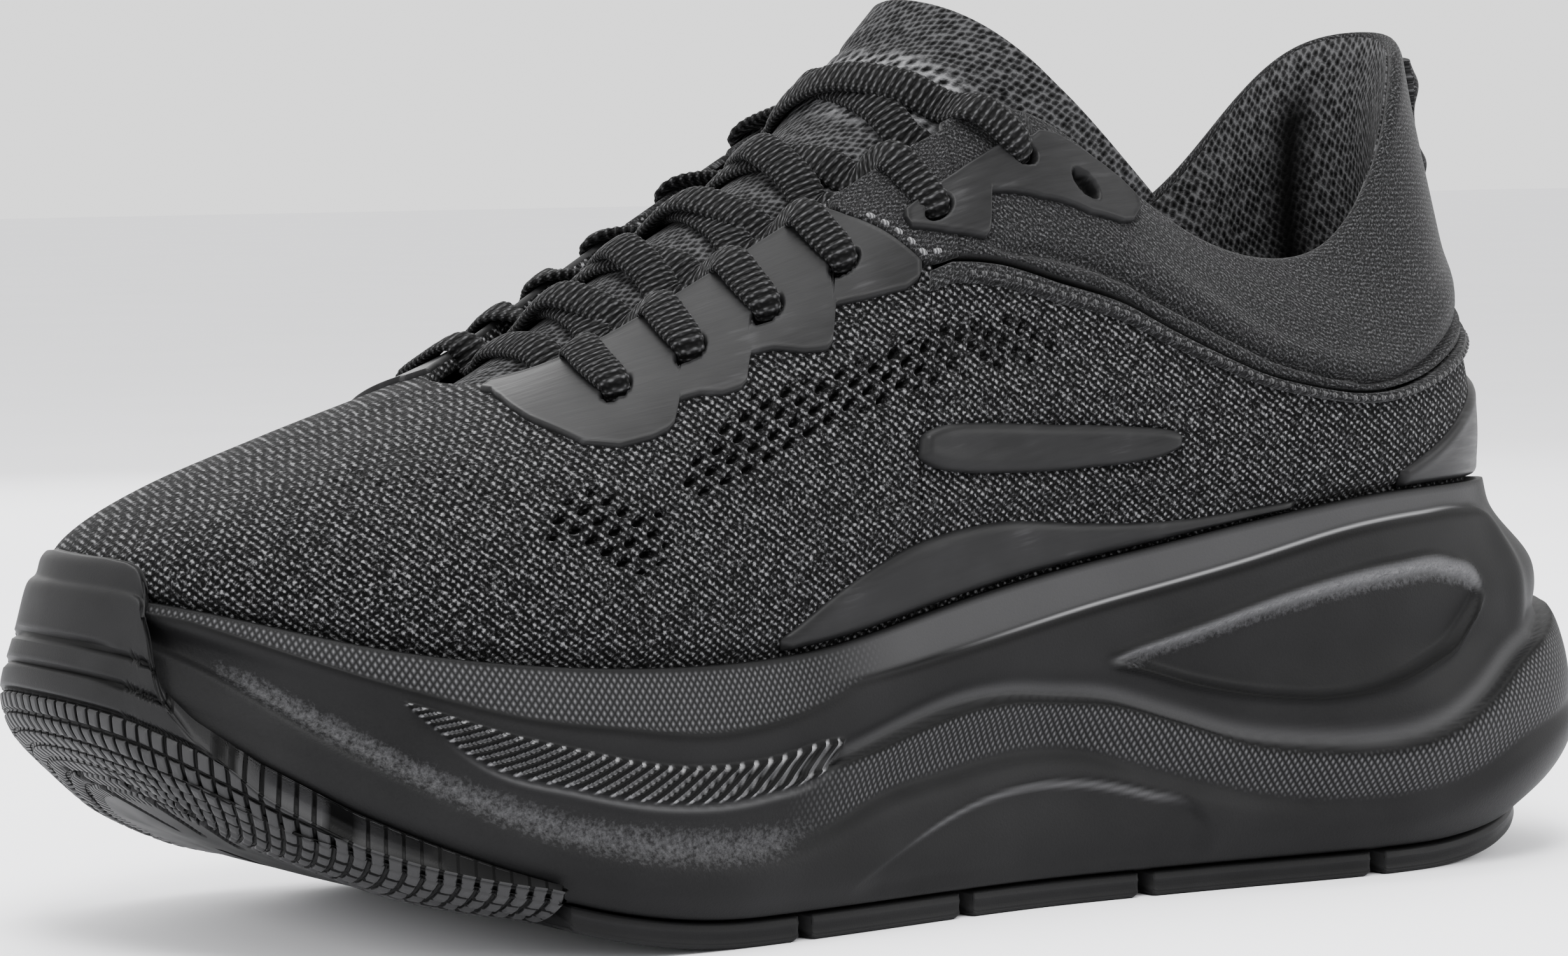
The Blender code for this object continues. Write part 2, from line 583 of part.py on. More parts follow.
def build_films():
    near, far = GAP + 0.35, GAP + 0.35 + FILM
    ts = sorted({r[0] for r in EYESTAY_EDGE} | {8.6, 9.4, 10.5, 11.05, 11.7, 12.0})
    both_sides("eyestay", ts, film_edge, fixed(1.0), near, far, FILM_LOOK, 4)

    tab_low = ((5.75, 0.93), (6.3, 0.86), (6.9, 0.78), (7.6, 0.74), (7.94, 0.73))
    both_sides("eyelet_tab", np.linspace(5.75, 7.94, 12), lambda t: float(table(tab_low, from_heel(t))),
               fixed(0.975), 0.6 + GAP, 0.6 + GAP + FILM, FILM_LOOK)

    rand_top = ((4.6, 0.04), (5.4, 0.05), (6.6, 0.10), (7.6, 0.15), (8.3, 0.15), (8.9, 0.10), (9.3, 0.04))
    both_sides("side_rand", np.linspace(4.6, 9.3, 12), fixed(0.02),
               lambda t: float(table(rand_top, from_heel(t))), near, far, FILM_LOOK)

    middle = ((5.76, 0.31), (6.4, 0.285), (7.0, 0.277), (7.6, 0.30), (8.24, 0.345))

    def bar(sign):
        def edge(t):
            s = from_heel(t)
            half = 0.045 * np.sqrt(max(0.0, 1 - ((s - 7.0) / 1.25)**6)) + 0.003
            return float(table(middle, s) + sign * half)
        return edge
    both_sides("side_patch", np.linspace(5.76, 8.24, 13), bar(-1), bar(1), near, far, FILM_LOOK)

    top = ((0, 0.30), (1, 0.28), (2, 0.24), (3, 0.12), (3.6, 0.05))
    strip("heel_overlay", np.linspace(-3.4, 3.4, 17), fixed(0.015),
          lambda t: float(table(top, abs(t))), near, far, FILM_LOOK, 4)


def build_binding():
    """A narrow tape over the seam between the knit and the collar panel."""
    strip("quarter_binding", collar_stations(18, 7.9), lambda t: seam_height(t) - 0.045,
          lambda t: seam_height(t) - 0.008, GAP, GAP + 0.7, SUEDE_LOOK, 3)


def build_pull_tab():
    """A short stitched tape down the back of the heel, with two ridges across it."""
    sections = []
    heights = np.linspace(0.66, 0.97, 9)
    for t in np.linspace(-0.42, 0.42, 5):
        tt = np.full(9, t)
        ridge = 1.3 * (np.exp(-((heights - 0.88) / 0.035)**2) + np.exp(-((heights - 0.74) / 0.035)**2))
        sections.append(np.concatenate([
            off_upper(tt, heights, 0.6 + GAP + 1.2 + ridge),
            off_upper(tt, heights, np.full(9, 0.6 + GAP))[::-1]]))
    loft("heel_pull_tab", sections, SUEDE_LOOK)


# ---- tongue
tongue_rows = open_spline([np.ravel(r) for r in TONGUE_ROWS])


def tongue(u, w):
    """The tongue's outer face: u is 0 at the root and 1 at the top, w runs -1 outer to 1 inner."""
    u, w = np.broadcast_arrays(np.asarray(u, float), np.asarray(w, float))
    rows = tongue_rows(u * (len(TONGUE_ROWS) - 1)).reshape(u.shape + (5, 3))
    flat = rows.reshape(-1, 5, 3)
    out = np.array([open_spline(r)(2 + 2 * s) for r, s in zip(flat, w.ravel())])
    return out.reshape(u.shape + (3,))


def off_tongue(u, w, lift):
    u, w, lift = np.broadcast_arrays(*(np.asarray(x, float) for x in (u, w, lift)))
    e = 0.01
    along = tongue(np.minimum(u + e, 1), w) - tongue(np.maximum(u - e, 0), w)
    across = tongue(u, np.minimum(w + e, 1)) - tongue(u, np.maximum(w - e, -1))
    return tongue(u, w) + unit(np.cross(across, along)) * lift[..., None] * -1


def build_tongue():
    foam = TONGUE_FACE + 1.0
    lining = foam + TONGUE_FOAM + 1.0
    layers = (("tongue_face", 0.0, TONGUE_FACE, SUEDE_LOOK),
              ("tongue_foam", foam, foam + TONGUE_FOAM, DARK_LOOK),
              ("tongue_lining", lining, lining + TONGUE_LINING, DARK_LOOK))
    for name, top, low, look in layers:
        w = np.linspace(-1, 1, 9)
        sections = []
        for u in np.linspace(0.005, 1, 12):
            uu = np.full(9, u)
            sections.append(np.concatenate([off_tongue(uu, w, -top), off_tongue(uu, w, -low)[::-1]]))
        loft(name, sections, look, pivot=TONGUE_HINGE)


# ---- lace
def eyelet(side, row):
    t, v = EYELETS[row]
    return (t if side < 0 else other_side(t)), v


def eyelet_u(row):
    """How far along the tongue the given row of eyelets crosses."""
    t, _ = EYELETS[row]
    x = upper(t, 1.0)[0]
    u = np.linspace(0, 1, 200)
    return float(u[np.abs(tongue(u, -0.5)[:, 0] - x).argmin()])


def lace_stop(place, normal, width=LACE_W, thick=LACE_T):
    return (*place, *normal, width, thick)


OVER, UNDER = GAP + FILM + 0.85 + LACE_T / 2, -(KNIT + 0.75 + LACE_T / 2)
LOW, HIGH = 0.75 + LACE_T / 2, 2.7 + LACE_T / 2


def on_upper(side, row, v, lift, past=0.0):
    """A stop above or below the upper; past runs on beyond the opening edge."""
    t, _ = eyelet(side, row)
    if row == 5:
        lift += 1.3 if lift > 0 else -1.6
    step = unit(upper(t, 1.0) - upper(t, 0.97))
    return lace_stop(off_upper(t, v, lift) + step * past, upper_normal(t, v))


def through_eyelet(side, row):
    """Down through the hole, from above the film to under the knit."""
    t, v = eyelet(side, row)
    n, place = upper_normal(t, v), upper(t, v)
    to_edge = unit(upper(t, v + 0.05) - place)
    deep, high = (UNDER, OVER) if row < 5 else (UNDER - 1.6, OVER + 1.0)
    return [lace_stop(place + n * (high - 0.1) + to_edge * 1.6, unit(n - to_edge * 0.3), 3.6, 2.0),
            lace_stop(place + n * 0.6, unit(-to_edge), 3.0, 2.2),
            lace_stop(place + n * (deep + 2.0), unit(-to_edge), 3.0, 2.2),
            lace_stop(place + n * deep + to_edge * 1.6, unit(-n - to_edge * 0.3), 3.6, 2.0)]


def over_tongue(side, first, last, rise_first):
    """From one side's row to the other side's next row, lying on the tongue."""
    u0, u1 = eyelet_u(first), eyelet_u(last)
    stops = []
    for w in (0.52, 0.4, 0.22, 0.0, -0.22, -0.4):
        share = (0.6 - w) / 1.1
        late = np.clip((share - (0.2 if rise_first else 0.62)) / 0.22, 0, 1)
        lift = LOW + (HIGH - LOW) * late
        u = u0 + (u1 - u0) * share
        place = off_tongue(u, w * side, lift)
        stops.append(lace_stop(place, unit(off_tongue(u, w * side, 1.0) - tongue(u, w * side))))
    return stops


def lace_end(side):
    """From the top eyelet, tucked forward under the quarter beside the tongue."""
    t, _ = eyelet(side, 5)
    sign = 1 if side < 0 else -1
    stops = []
    for along, v, lift, size in ((0.15, 0.80, 6.4, 4.4), (0.5, 0.75, 6.5, 4.4), (1.1, 0.71, 5.6, 4.4),
                                 (1.8, 0.66, 4.9, 4.4), (2.3, 0.64, 4.8, 2.8), (2.5, 0.635, 4.8, 2.2),
                                 (2.9, 0.632, 4.8, 2.2), (3.3, 0.63, 5.1, 2.2)):
        s = t + sign * along * (1 if side < 0 else 14 / 15)
        n = upper_normal(s, v)
        thick = LACE_T if size > 2.5 else 2.2
        stops.append(lace_stop(off_upper(s, v, -lift), -n, size, thick))
    return stops


def lace_stops():
    """The whole lace, from one tucked end to the other, as places with a facing and a size."""
    def run(side):
        stops = []
        for row in range(6):
            stops += [on_upper(side, row, 1.0, OVER - 0.1, 1.2), on_upper(side, row, 0.95, OVER)]
            stops += through_eyelet(side, row)
            if row == 5:
                stops += lace_end(side)
                break
            stops += [on_upper(side, row, 0.93, UNDER), on_upper(side, row, 1.0, UNDER - 0.2, 1.6)]
            stops += over_tongue(side, row, row + 1, rise_first=(side * (-1)**row) > 0)
            side = -side
        return stops

    u = eyelet_u(0)
    bar = [lace_stop(off_tongue(u, w, HIGH), unit(off_tongue(u, w, 1.0) - tongue(u, w)))
           for w in (-0.4, -0.2, 0.2, 0.4)]
    return np.array(run(-1)[::-1] + bar + run(1))


def lace_path(longest=9.0, bend=0.55):
    """The lace's centre line, marked closely where it bends and sparsely where it is straight."""
    stops = lace_stops()
    fine = open_spline(stops)(np.linspace(0, len(stops) - 1, len(stops) * 12))
    step = np.diff(fine[:, :3], axis=0)
    reach = np.linalg.norm(step, axis=1)
    turn = np.arccos(np.clip((unit(step[1:]) * unit(step[:-1])).sum(1), -1, 1))
    marks, gone, turned = [0], 0.0, 0.0
    for i in range(1, len(fine) - 1):
        gone, turned = gone + reach[i - 1], turned + turn[i - 1]
        if gone > longest or turned > bend:
            marks.append(i)
            gone = turned = 0.0
    return fine[marks + [len(fine) - 1]]


def lace_section(place, forward, normal, width, thick, sides=6):
    across = unit(np.cross(forward, normal))
    up = unit(np.cross(across, forward))
    angles = np.arange(sides) * 2 * np.pi / sides + np.pi / sides
    return np.array([place + across * np.cos(a) * width / 2 + up * np.sin(a) * thick / 2 for a in angles])


def build_lace():
    path = lace_path()
    forward = unit(np.gradient(path[:, :3], axis=0))
    sections = [lace_section(p[:3], f, unit(p[3:6]), p[6], p[7]) for p, f in zip(path, forward)]
    loft("lace", sections, LACE_LOOK)
    for name, rows in (("aglet_lateral", slice(0, 3)), ("aglet_medial", slice(-3, None))):
        ends = path[rows]
        rings = []
        for radius in (1.1 + GAP + 0.3, 1.1 + GAP + 0.8):
            rings.append([lace_section(p[:3], f, unit(p[3:6]), 2 * radius, 2 * radius)
                          for p, f in zip(ends, forward[rows])])
        tube = list(rings[0]) + list(rings[1])[::-1]
        loft(name, tube, LACE_LOOK, closed=True)


# ---- eyelet holes
def cutter(name, places):
    """Short pins through the upper at each hole, joined into one helper."""
    points, faces = [], []
    for t, v in places:
        n, place = upper_normal(t, v), upper(t, v)
        side = unit(np.cross(n, (0, 0, 1.0)))
        top = np.cross(n, side)
        base = len(points)
        for lift in (5.0, -12.0):
            for a in np.arange(12) * np.pi / 6:
                points.append(place + n * lift + (side * np.cos(a) + top * np.sin(a)) * EYELET_R)
        faces += [(base + i, base + (i + 1) % 12, base + 12 + (i + 1) % 12, base + 12 + i) for i in range(12)]
        faces += [tuple(range(base, base + 12)), tuple(range(base + 23, base + 11, -1))]
    made = add_object(name, points, faces, DARK_LOOK)
    made.hide_render = True
    made.display_type = "WIRE"
    return made


def bore(target, tool):
    cut = bpy.data.objects[target].modifiers.new("eyelets", "BOOLEAN")
    cut.operation = "DIFFERENCE"
    cut.solver = "EXACT"
    cut.object = tool


def bore_eyelets():
    for side, sign in (("lateral", -1), ("medial", 1)):
        rows = [eyelet(sign, row) for row in range(6)]
        spare = SPARE_EYELET if sign < 0 else (other_side(SPARE_EYELET[0]), SPARE_EYELET[1])
        front = cutter(f"cut_front_{side}", rows[:5])
        back = cutter(f"cut_back_{side}", [rows[5], spare])
        bore("upper_knit", front)
        bore(f"eyestay_{side}", front)
        for name in (f"eyelet_tab_{side}", "collar_panel", "collar_foam", "collar_lining"):
            bore(name, back)


def main():
    for old in list(bpy.data.objects):
        bpy.data.objects.remove(old, do_unlink=True)
    build_midsole()
    build_pods()
    build_toe_rubber()
    build_boards()
    build_knit()
    build_stiffeners()
    build_collar()
    build_films()
    build_binding()
    build_pull_tab()
    build_tongue()
    build_lace()
    bore_eyelets()


main()
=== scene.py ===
"""The looks of a left running shoe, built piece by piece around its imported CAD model.

Frame: +Z up, toe towards -X, heel towards +X, the outer (lateral) side towards -Y, in metres.
Shapes are worked out in millimetres, in the stations' own coordinates, and place() turns them
into the frame's metres. A station t runs from 0 at the back of the heel, along the outer side,
to TOE_T at the toe and back along the inner side to COUNT.
"""

import math

import bmesh
import bpy
import numpy as np
from mathutils import Matrix, Vector


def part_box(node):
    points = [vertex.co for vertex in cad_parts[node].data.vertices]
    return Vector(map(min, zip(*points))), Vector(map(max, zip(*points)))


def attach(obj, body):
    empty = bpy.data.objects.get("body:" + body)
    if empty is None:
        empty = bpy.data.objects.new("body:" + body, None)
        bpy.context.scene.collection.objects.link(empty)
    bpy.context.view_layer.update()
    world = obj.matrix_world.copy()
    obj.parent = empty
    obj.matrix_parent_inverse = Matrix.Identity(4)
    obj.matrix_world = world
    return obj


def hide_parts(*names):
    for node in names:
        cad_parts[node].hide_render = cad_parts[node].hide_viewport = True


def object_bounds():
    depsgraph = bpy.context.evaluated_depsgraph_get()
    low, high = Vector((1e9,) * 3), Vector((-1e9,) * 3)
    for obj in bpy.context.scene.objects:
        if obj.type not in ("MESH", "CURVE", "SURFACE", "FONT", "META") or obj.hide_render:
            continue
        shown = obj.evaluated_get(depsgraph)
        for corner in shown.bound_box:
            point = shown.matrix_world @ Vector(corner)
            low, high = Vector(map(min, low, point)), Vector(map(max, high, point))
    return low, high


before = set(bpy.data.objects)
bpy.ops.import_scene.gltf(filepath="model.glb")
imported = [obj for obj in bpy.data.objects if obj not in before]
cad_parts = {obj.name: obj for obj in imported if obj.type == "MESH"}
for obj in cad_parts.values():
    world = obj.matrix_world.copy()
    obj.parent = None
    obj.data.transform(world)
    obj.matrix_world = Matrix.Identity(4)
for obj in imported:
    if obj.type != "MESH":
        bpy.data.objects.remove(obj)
cad_low, cad_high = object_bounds()

MM = 0.001
TOE_T = 15.0
GAP = 0.3               # clearance between touching pieces
KNIT = 2.2              # thickness of the upper knit
RUBBER = 4.2            # thickness of the outsole pods
FOAM_BOTTOM = 4.5       # height of the foam's underside
FILM = 0.8              # thickness of the fused overlay films
STACK_HEEL, STACK_FORE, STACK_TOE = 29.0, 22.0, 9.0
LACE_W, LACE_T = 6.2, 2.3
EYELET_R = 2.4
EYELET_SCALE = 0.82     # how long a station is beside the laces, against one lower on the upper
TREAD_W, TREAD_L = 2.9, 3.7     # spacing of the small lugs round and down the toe
LUG_TOP, LUG_LOW = 8.0, -17.0   # how far the small lugs reach above and below the foot of the wall

# Each station of the upper: feather-line point, opening-edge point, and the two handles
# of the curve that rises from the first and drops into the second.
STATIONS = (
    ((131, 0, 65), (121.5, 0, 143), (0, 0, 24), (1, 0, -26)),
    ((126.5, -17, 66), (114.5, -15.5, 139), (1, -2, 22), (1, -3, -26)),
    ((115, -31, 66.5), (104, -25.5, 126), (1, -6, 20), (0, -6, -22)),
    ((99, -39, 66.5), (91, -31.5, 111.5), (0, -8, 17), (0, -7, -17)),
    ((82, -42, 65.5), (77, -34.5, 105.5), (0, -9, 15), (0, -8, -13)),
    ((60, -42, 62.5), (60, -34.5, 108), (-2, -9, 17), (0, -9, -16)),
    ((38, -41.5, 59), (43, -32.5, 118.5), (-3, -9, 20), (0, -11, -20)),
    ((16, -42, 55.5), (25, -28.5, 131.5), (-3, -9, 24), (-2, -13, -20)),
    ((-8, -45, 51), (7, -26.5, 129.5), (-3, -9, 25), (-3, -14, -18)),
    ((-32, -49, 46.5), (-14, -24.5, 118), (-3, -8, 25), (-5, -15, -15)),
    ((-58, -52, 45.5), (-36, -22, 105.5), (-3, -6, 23), (-8, -16, -12)),
    ((-83, -51, 47), (-55, -18, 95), (-2, -5, 21), (-12, -18, -9)),
    ((-107, -44.5, 50.5), (-67, -11, 89.8), (-3, -4, 18), (-24, -17, -9)),
    ((-124.5, -31, 55), (-71.5, -5, 89), (-3, -3, 13), (-37, -12, -12)),
    ((-134.5, -15, 57.5), (-73, -1.5, 89), (-3, -1, 10), (-43, -5, -15)),
    ((-138, 4, 58), (-73.5, 2, 89.2), (-3, 0, 9), (-44, 2, -15)),
    ((-134, 22, 57.5), (-73, 5.5, 89.3), (-3, 2, 10), (-42, 9, -14)),
    ((-121, 35.5, 54.5), (-71, 9.5, 89.6), (-3, 3, 13), (-34, 14, -11)),
    ((-100, 45, 50), (-66, 14.5, 91), (-3, 4, 19), (-20, 17, -9)),
    ((-74, 47.5, 46.5), (-54, 20, 96), (-2, 5, 22), (-10, 17, -10)),
    ((-46, 45, 46), (-36, 23.5, 106), (-2, 5, 24), (-6, 15, -13)),
    ((-18, 40, 49), (-14, 25.5, 118.5), (-2, 6, 25), (-4, 13, -17)),
    ((8, 36.5, 53.5), (7, 27, 130), (-2, 6, 25), (-2, 12, -19)),
    ((34, 35, 58.5), (25, 29, 132), (-2, 7, 23), (0, 11, -20)),
    ((60, 36.5, 62.5), (46, 33, 118.5), (-1, 7, 18), (0, 8, -18)),
    ((83, 38, 65.5), (67, 35.5, 109), (0, 8, 15), (0, 8, -13)),
    ((104, 36.5, 66.5), (89, 32.5, 113.5), (0, 8, 17), (0, 7, -16)),
    ((117, 29, 66.5), (104, 25.5, 130), (1, 6, 20), (0, 6, -22)),
    ((127.5, 15.5, 66), (115, 15, 141.5), (1, 2, 22), (1, 3, -26)),
)
COUNT = len(STATIONS)

# How far the foam stands out from the feather line at four heights, by station.
FLARE = (
    (0, 13, 14, 20, 9), (1, 12, 13, 20, 9), (2, 10, 11, 18, 8), (3, 8, 8, 14, 6),
    (5, 6, 5.5, 8, 4), (7, 5, 4.5, 6, 3.5), (9, 5, 5, 7, 4), (11, 5, 6, 8, 4),
    (13, 3, 4, 6, 3), (15, 2.2, 3.2, 5, 0), (17, 3, 4, 6, 3), (19, 5, 6, 8, 4),
    (21, 5, 5, 7, 4), (23, 5, 4.5, 6, 3.5), (25, 6, 5.5, 8, 4), (27, 9, 10, 15, 6),
)
WALL_LEVELS = np.array([0, 0.07, 0.27, 0.42, 0.70, 0.90, 1.0])
CAD_STATIONS = 22       # how many stations each side of the foam's CAD solid has
CAD_HEIGHTS = np.array([0.0, 0.07, 0.27, 0.42, 0.56, 0.70, 0.78, 0.87, 0.955])

# Tongue: rows from the stitched root to the top edge, points from the outer to the inner edge.
TONGUE_ROWS = (
    ((-77, -14, 78), (-79, -7, 81.6), (-80, 2, 83.0), (-79, 11, 81.8), (-77, 18, 78.5)),
    ((-64, -20, 79.5), (-65.5, -9.5, 86.0), (-66, 2, 88.8), (-65.5, 13.5, 85.6), (-64, 24, 79)),
    ((-47, -26, 84), (-49, -13, 94.2), (-50, 1, 98.4), (-49, 15.5, 94.0), (-47, 28, 83.5)),
    ((-28, -29, 93), (-30.5, -15.5, 105.3), (-32, 0, 110), (-30.5, 17, 105.5), (-28, 28.5, 93.5)),
    ((-8, -30, 101), (-11.5, -17.5, 115.3), (-14, -1, 120.8), (-11.5, 17, 115.5), (-8, 28, 101.5)),
    ((14, -30, 107), (4, -19.5, 126), (0, -2, 131.5), (2.5, 18, 127), (14, 28.5, 107.5)),
    ((33, -29.2, 111), (16, -21, 135), (10, -3.5, 141.5), (11, 16.5, 136), (33, 29, 111.5)),
    ((50, -28.6, 117.5), (27, -22.5, 142), (17, -5, 151), (21, 14, 145.5), (50, 28, 117.5)),
)

# Heights on the upper (0 feather line, 1 opening edge) by station from the heel.
COLLAR_SEAM = (
    (0, 0.44), (1, 0.42), (2.1, 0.41), (3.1, 0.41), (4, 0.44), (4.7, 0.52), (5.4, 0.61),
    (6.2, 0.64), (7, 0.62), (7.6, 0.655), (8.0, 0.685),
)
COLLAR_FRONT = 8.18     # station where the collar ends and the knit reaches the opening's edge
PADDING = ((0, 5.5), (1, 6.5), (2, 7), (3, 6.5), (4, 5), (5, 2.5), (6, 1.5), (8.3, 1.5))
EYESTAY_EDGE = (
    (8.26, 0.70), (8.31, 0.672), (8.42, 0.665), (8.77, 0.687), (9.00, 0.705), (9.02, 0.622), (9.06, 0.613),
    (9.23, 0.629), (9.47, 0.669), (9.65, 0.683), (9.67, 0.614), (9.71, 0.605), (9.85, 0.608), (10.03, 0.632),
    (10.19, 0.636), (10.21, 0.575), (10.26, 0.562), (10.38, 0.554), (10.63, 0.556), (10.92, 0.594),
    (11.38, 0.727), (11.76, 0.865), (12.0, 0.93), (12.3, 0.96),
)
EYESTAY_TOP = ((8.26, 0.705), (8.32, 0.727), (8.58, 0.82), (8.86, 0.915), (9.0, 0.97), (9.1, 1.0))
EYELETS = ((10.72, 0.745), (10.12, 0.765), (9.52, 0.775), (8.92, 0.795), (8.12, 0.80), (7.24, 0.878))
SPARE_EYELET = (6.66, 0.867)
TUCK_FROM = 7.40    # station from which each lace end is tucked in
# painted shade: a dark band down the lining's fold, inside the heel on the inner side
CREASE = 1.2        # station of the fold inside the collar, on the inner side

# Lines moulded into the side of the foam: heights on the wall (0 rim, 1 bottom edge) by station.
BAND_LOW = ((8.6, 0.12), (9.4, 0.22), (9.9, 0.25), (10.6, 0.23), (11.2, 0.22), (11.9, 0.17), (13.4, 0.07))
HATCH_TOP = (
    (8.85, 0.34), (9.05, 0.33), (9.47, 0.36), (10.2, 0.375), (10.9, 0.33), (11.3, 0.305), (11.97, 0.235),
)
HATCH_LOW = (
    (8.85, 0.345), (9.1, 0.45), (9.6, 0.51), (10.3, 0.533), (10.9, 0.51), (11.5, 0.46), (11.97, 0.24),
)
RIDGE = (
    (0, 0.66), (1.2, 0.68), (2.4, 0.72), (3, 0.795), (3.8, 0.84), (4.4, 0.835), (5.1, 0.79), (5.7, 0.72),
    (6.15, 0.66), (6.75, 0.575), (7.45, 0.54), (7.9, 0.55), (8.6, 0.575), (9.2, 0.67), (9.5, 0.705),
    (10.2, 0.715), (10.7, 0.71), (11.3, 0.68), (11.8, 0.62), (12.3, 0.53), (13.3, 0.355), (15, 0.2),
)
LIP = (
    (0, 0.42), (1.2, 0.44), (2.4, 0.52), (2.9, 0.595), (3.5, 0.665), (4.0, 0.69), (4.65, 0.675), (5.25, 0.63),
    (5.9, 0.535), (6.5, 0.445), (7.0, 0.40), (7.45, 0.36), (7.9, 0.347),
    (8.3, 0.365), (8.8, 0.41), (9.2, 0.45),
)
RIM_LINE = (
    (1.9, 0.13), (2.1, 0.09), (2.6, 0.068), (3.3, 0.069), (4.25, 0.077), (5.15, 0.104), (6.5, 0.127),
    (7.7, 0.147), (9.2, 0.131),
)
TEAR_TOP = ((2.6, 0.29), (2.7, 0.25), (3.05, 0.205), (3.8, 0.197), (4.8, 0.22), (5.65, 0.263), (6.55, 0.305))
TEAR_LOW = (
    (2.6, 0.30), (2.7, 0.34), (2.95, 0.42), (3.45, 0.486), (4.0, 0.53), (4.4, 0.54), (5.0, 0.51),
    (5.65, 0.44), (6.2, 0.355), (6.55, 0.308),
)
ARCH_TOP = (
    (5.6, 0.86), (5.75, 0.80), (6.15, 0.745), (6.8, 0.68), (7.3, 0.664), (7.8, 0.687),
    (8.4, 0.776), (8.9, 0.90),
)


# ---- curves
def hermite(u, a, b, slope_a, slope_b):
    return ((2 * u**3 - 3 * u**2 + 1) * a + (u**3 - 2 * u**2 + u) * slope_a
            + (3 * u**2 - 2 * u**3) * b + (u**3 - u**2) * slope_b)


def spline(values, closed):
    """A cubic through rows of values at 0, 1, 2, ..., closed on itself or natural at its ends."""
    y = np.asarray(values, float)
    n = len(y)
    matrix = 4 * np.eye(n) + np.eye(n, k=1) + np.eye(n, k=-1)
    right = 3 * (np.roll(y, -1, 0) - np.roll(y, 1, 0))
    if closed:
        matrix[0, -1] = matrix[-1, 0] = 1
    else:
        matrix[0, 0] = matrix[-1, -1] = 2
        right[0], right[-1] = 3 * (y[1] - y[0]), 3 * (y[-1] - y[-2])
    slope = np.linalg.solve(matrix, right)

    def at(t):
        t = np.asarray(t, float)
        t = np.mod(t, n) if closed else np.clip(t, 0, n - 1)
        i = np.minimum(t.astype(int), n - 1 if closed else n - 2)
        j = (i + 1) % n
        return hermite((t - i)[..., None], y[i], y[j], slope[i], slope[j])

    return at


def curve(points):
    """A smooth line through (station, value) pairs, level beyond its ends."""
    x, y = np.array(points, float).T
    slope = np.gradient(y, x)

    def at(s):
        s = np.clip(s, x[0], x[-1])
        i = np.clip(np.searchsorted(x, s, side="right") - 1, 0, len(x) - 2)
        width = x[i + 1] - x[i]
        return hermite((s - x[i]) / width, y[i], y[i + 1], slope[i] * width, slope[i + 1] * width)

    return at


def straight(points):
    """Straight lines through (station, value) pairs, level beyond their ends."""
    x, y = np.transpose(points)
    return lambda s: np.interp(s, x, y)


def distances(points, axis=0):
    """How far each point is from the first one, measured from point to point along one axis of a grid."""
    first = np.take(points, [0], axis)
    return np.cumsum(np.linalg.norm(np.diff(points, axis=axis, prepend=first), axis=-1), axis)


def unit(v):
    return v / np.maximum(np.linalg.norm(v, axis=-1, keepdims=True), 1e-9)


def ease(x, start, end):
    """0 before start, 1 after end, and smooth between them."""
    u = np.clip((np.asarray(x, float) - start) / (end - start), 0, 1)
    return u * u * (3 - 2 * u)


def between(x, low, high, soft):
    """1 from low to high and 0 beyond them, with soft ends."""
    return ease(x, low - soft, low + soft) * (1 - ease(x, high - soft, high + soft))


def hump(x, centre, width):
    """A smooth bump, 1 at its centre."""
    return np.exp(-((x - centre) / width)**2)


def from_heel(t):
    """Station distance from the back of the heel, on the outer side's scale."""
    t = np.mod(np.asarray(t, float), COUNT)
    return np.where(t <= TOE_T, t, (COUNT - t) * TOE_T / (COUNT - TOE_T))


def other_side(t):
    """The inner side's station that mirrors one on the outer side."""
    return COUNT - t * (COUNT - TOE_T) / TOE_T


def flare_row(station):
    """The foam's flare at one station, on straight lines between the rows of FLARE."""
    rows = np.array([*FLARE, (COUNT, *FLARE[0][1:])], float)
    return [np.interp(station, rows[:, 0], column) for column in rows[:, 1:].T]


upper_controls = spline([np.ravel(s) for s in STATIONS], True)
flare = spline([flare_row(i) for i in range(COUNT)], True)
tongue_rows = spline([np.ravel(r) for r in TONGUE_ROWS], False)
collar_seam = curve(COLLAR_SEAM)


# ---- surfaces of the shoe, in the stations' coordinates
def upper(t, v):
    """The outside of the upper: v is 0 on the feather line and 1 on the opening edge."""
    c = upper_controls(t)
    v = np.asarray(v, float)[..., None]
    a, b, rise, fall = c[..., 0:3], c[..., 3:6], c[..., 6:9], c[..., 9:12]
    w = 1 - v
    return w**3 * a + 3 * w**2 * v * (a + rise) + 3 * w * v**2 * (b + fall) + v**3 * b


def upper_normal(t, v):
    t, v = np.broadcast_arrays(np.asarray(t, float), np.asarray(v, float))
    low, high = np.maximum(v - 0.02, 0), np.minimum(v + 0.02, 1)
    along = upper(t + 0.02, v) - upper(t - 0.02, v)
    return -unit(np.cross(along, upper(t, high) - upper(t, low)))


def off_upper(t, v, lift):
    """A point of the upper moved outwards by lift."""
    t, v, lift = np.broadcast_arrays(*(np.asarray(x, float) for x in (t, v, lift)))
    return upper(t, v) + upper_normal(t, v) * lift[..., None]


def outward(t):
    """The level direction that leaves the sole at a station."""
    t = np.asarray(t, float)
    d = (upper_controls(t + 0.01) - upper_controls(t - 0.01))[..., :2]
    return -unit(np.stack([d[..., 1], -d[..., 0]], -1))


def foam_bottom(x):
    """Height of the foam's underside: flat in the middle, rising at the toe and the heel."""
    return FOAM_BOTTOM + 0.0042 * np.maximum(0, -45 - x)**2 + 0.0045 * np.maximum(0, x - 95)**2


def foot_bed(x):
    """Height of the foam under the foot."""
    stack = np.interp(x, [-140, -118, -80, -45, 60], [STACK_TOE, 11.5, 19, STACK_FORE, STACK_HEEL])
    return foam_bottom(np.clip(x, -140, 100)) + stack


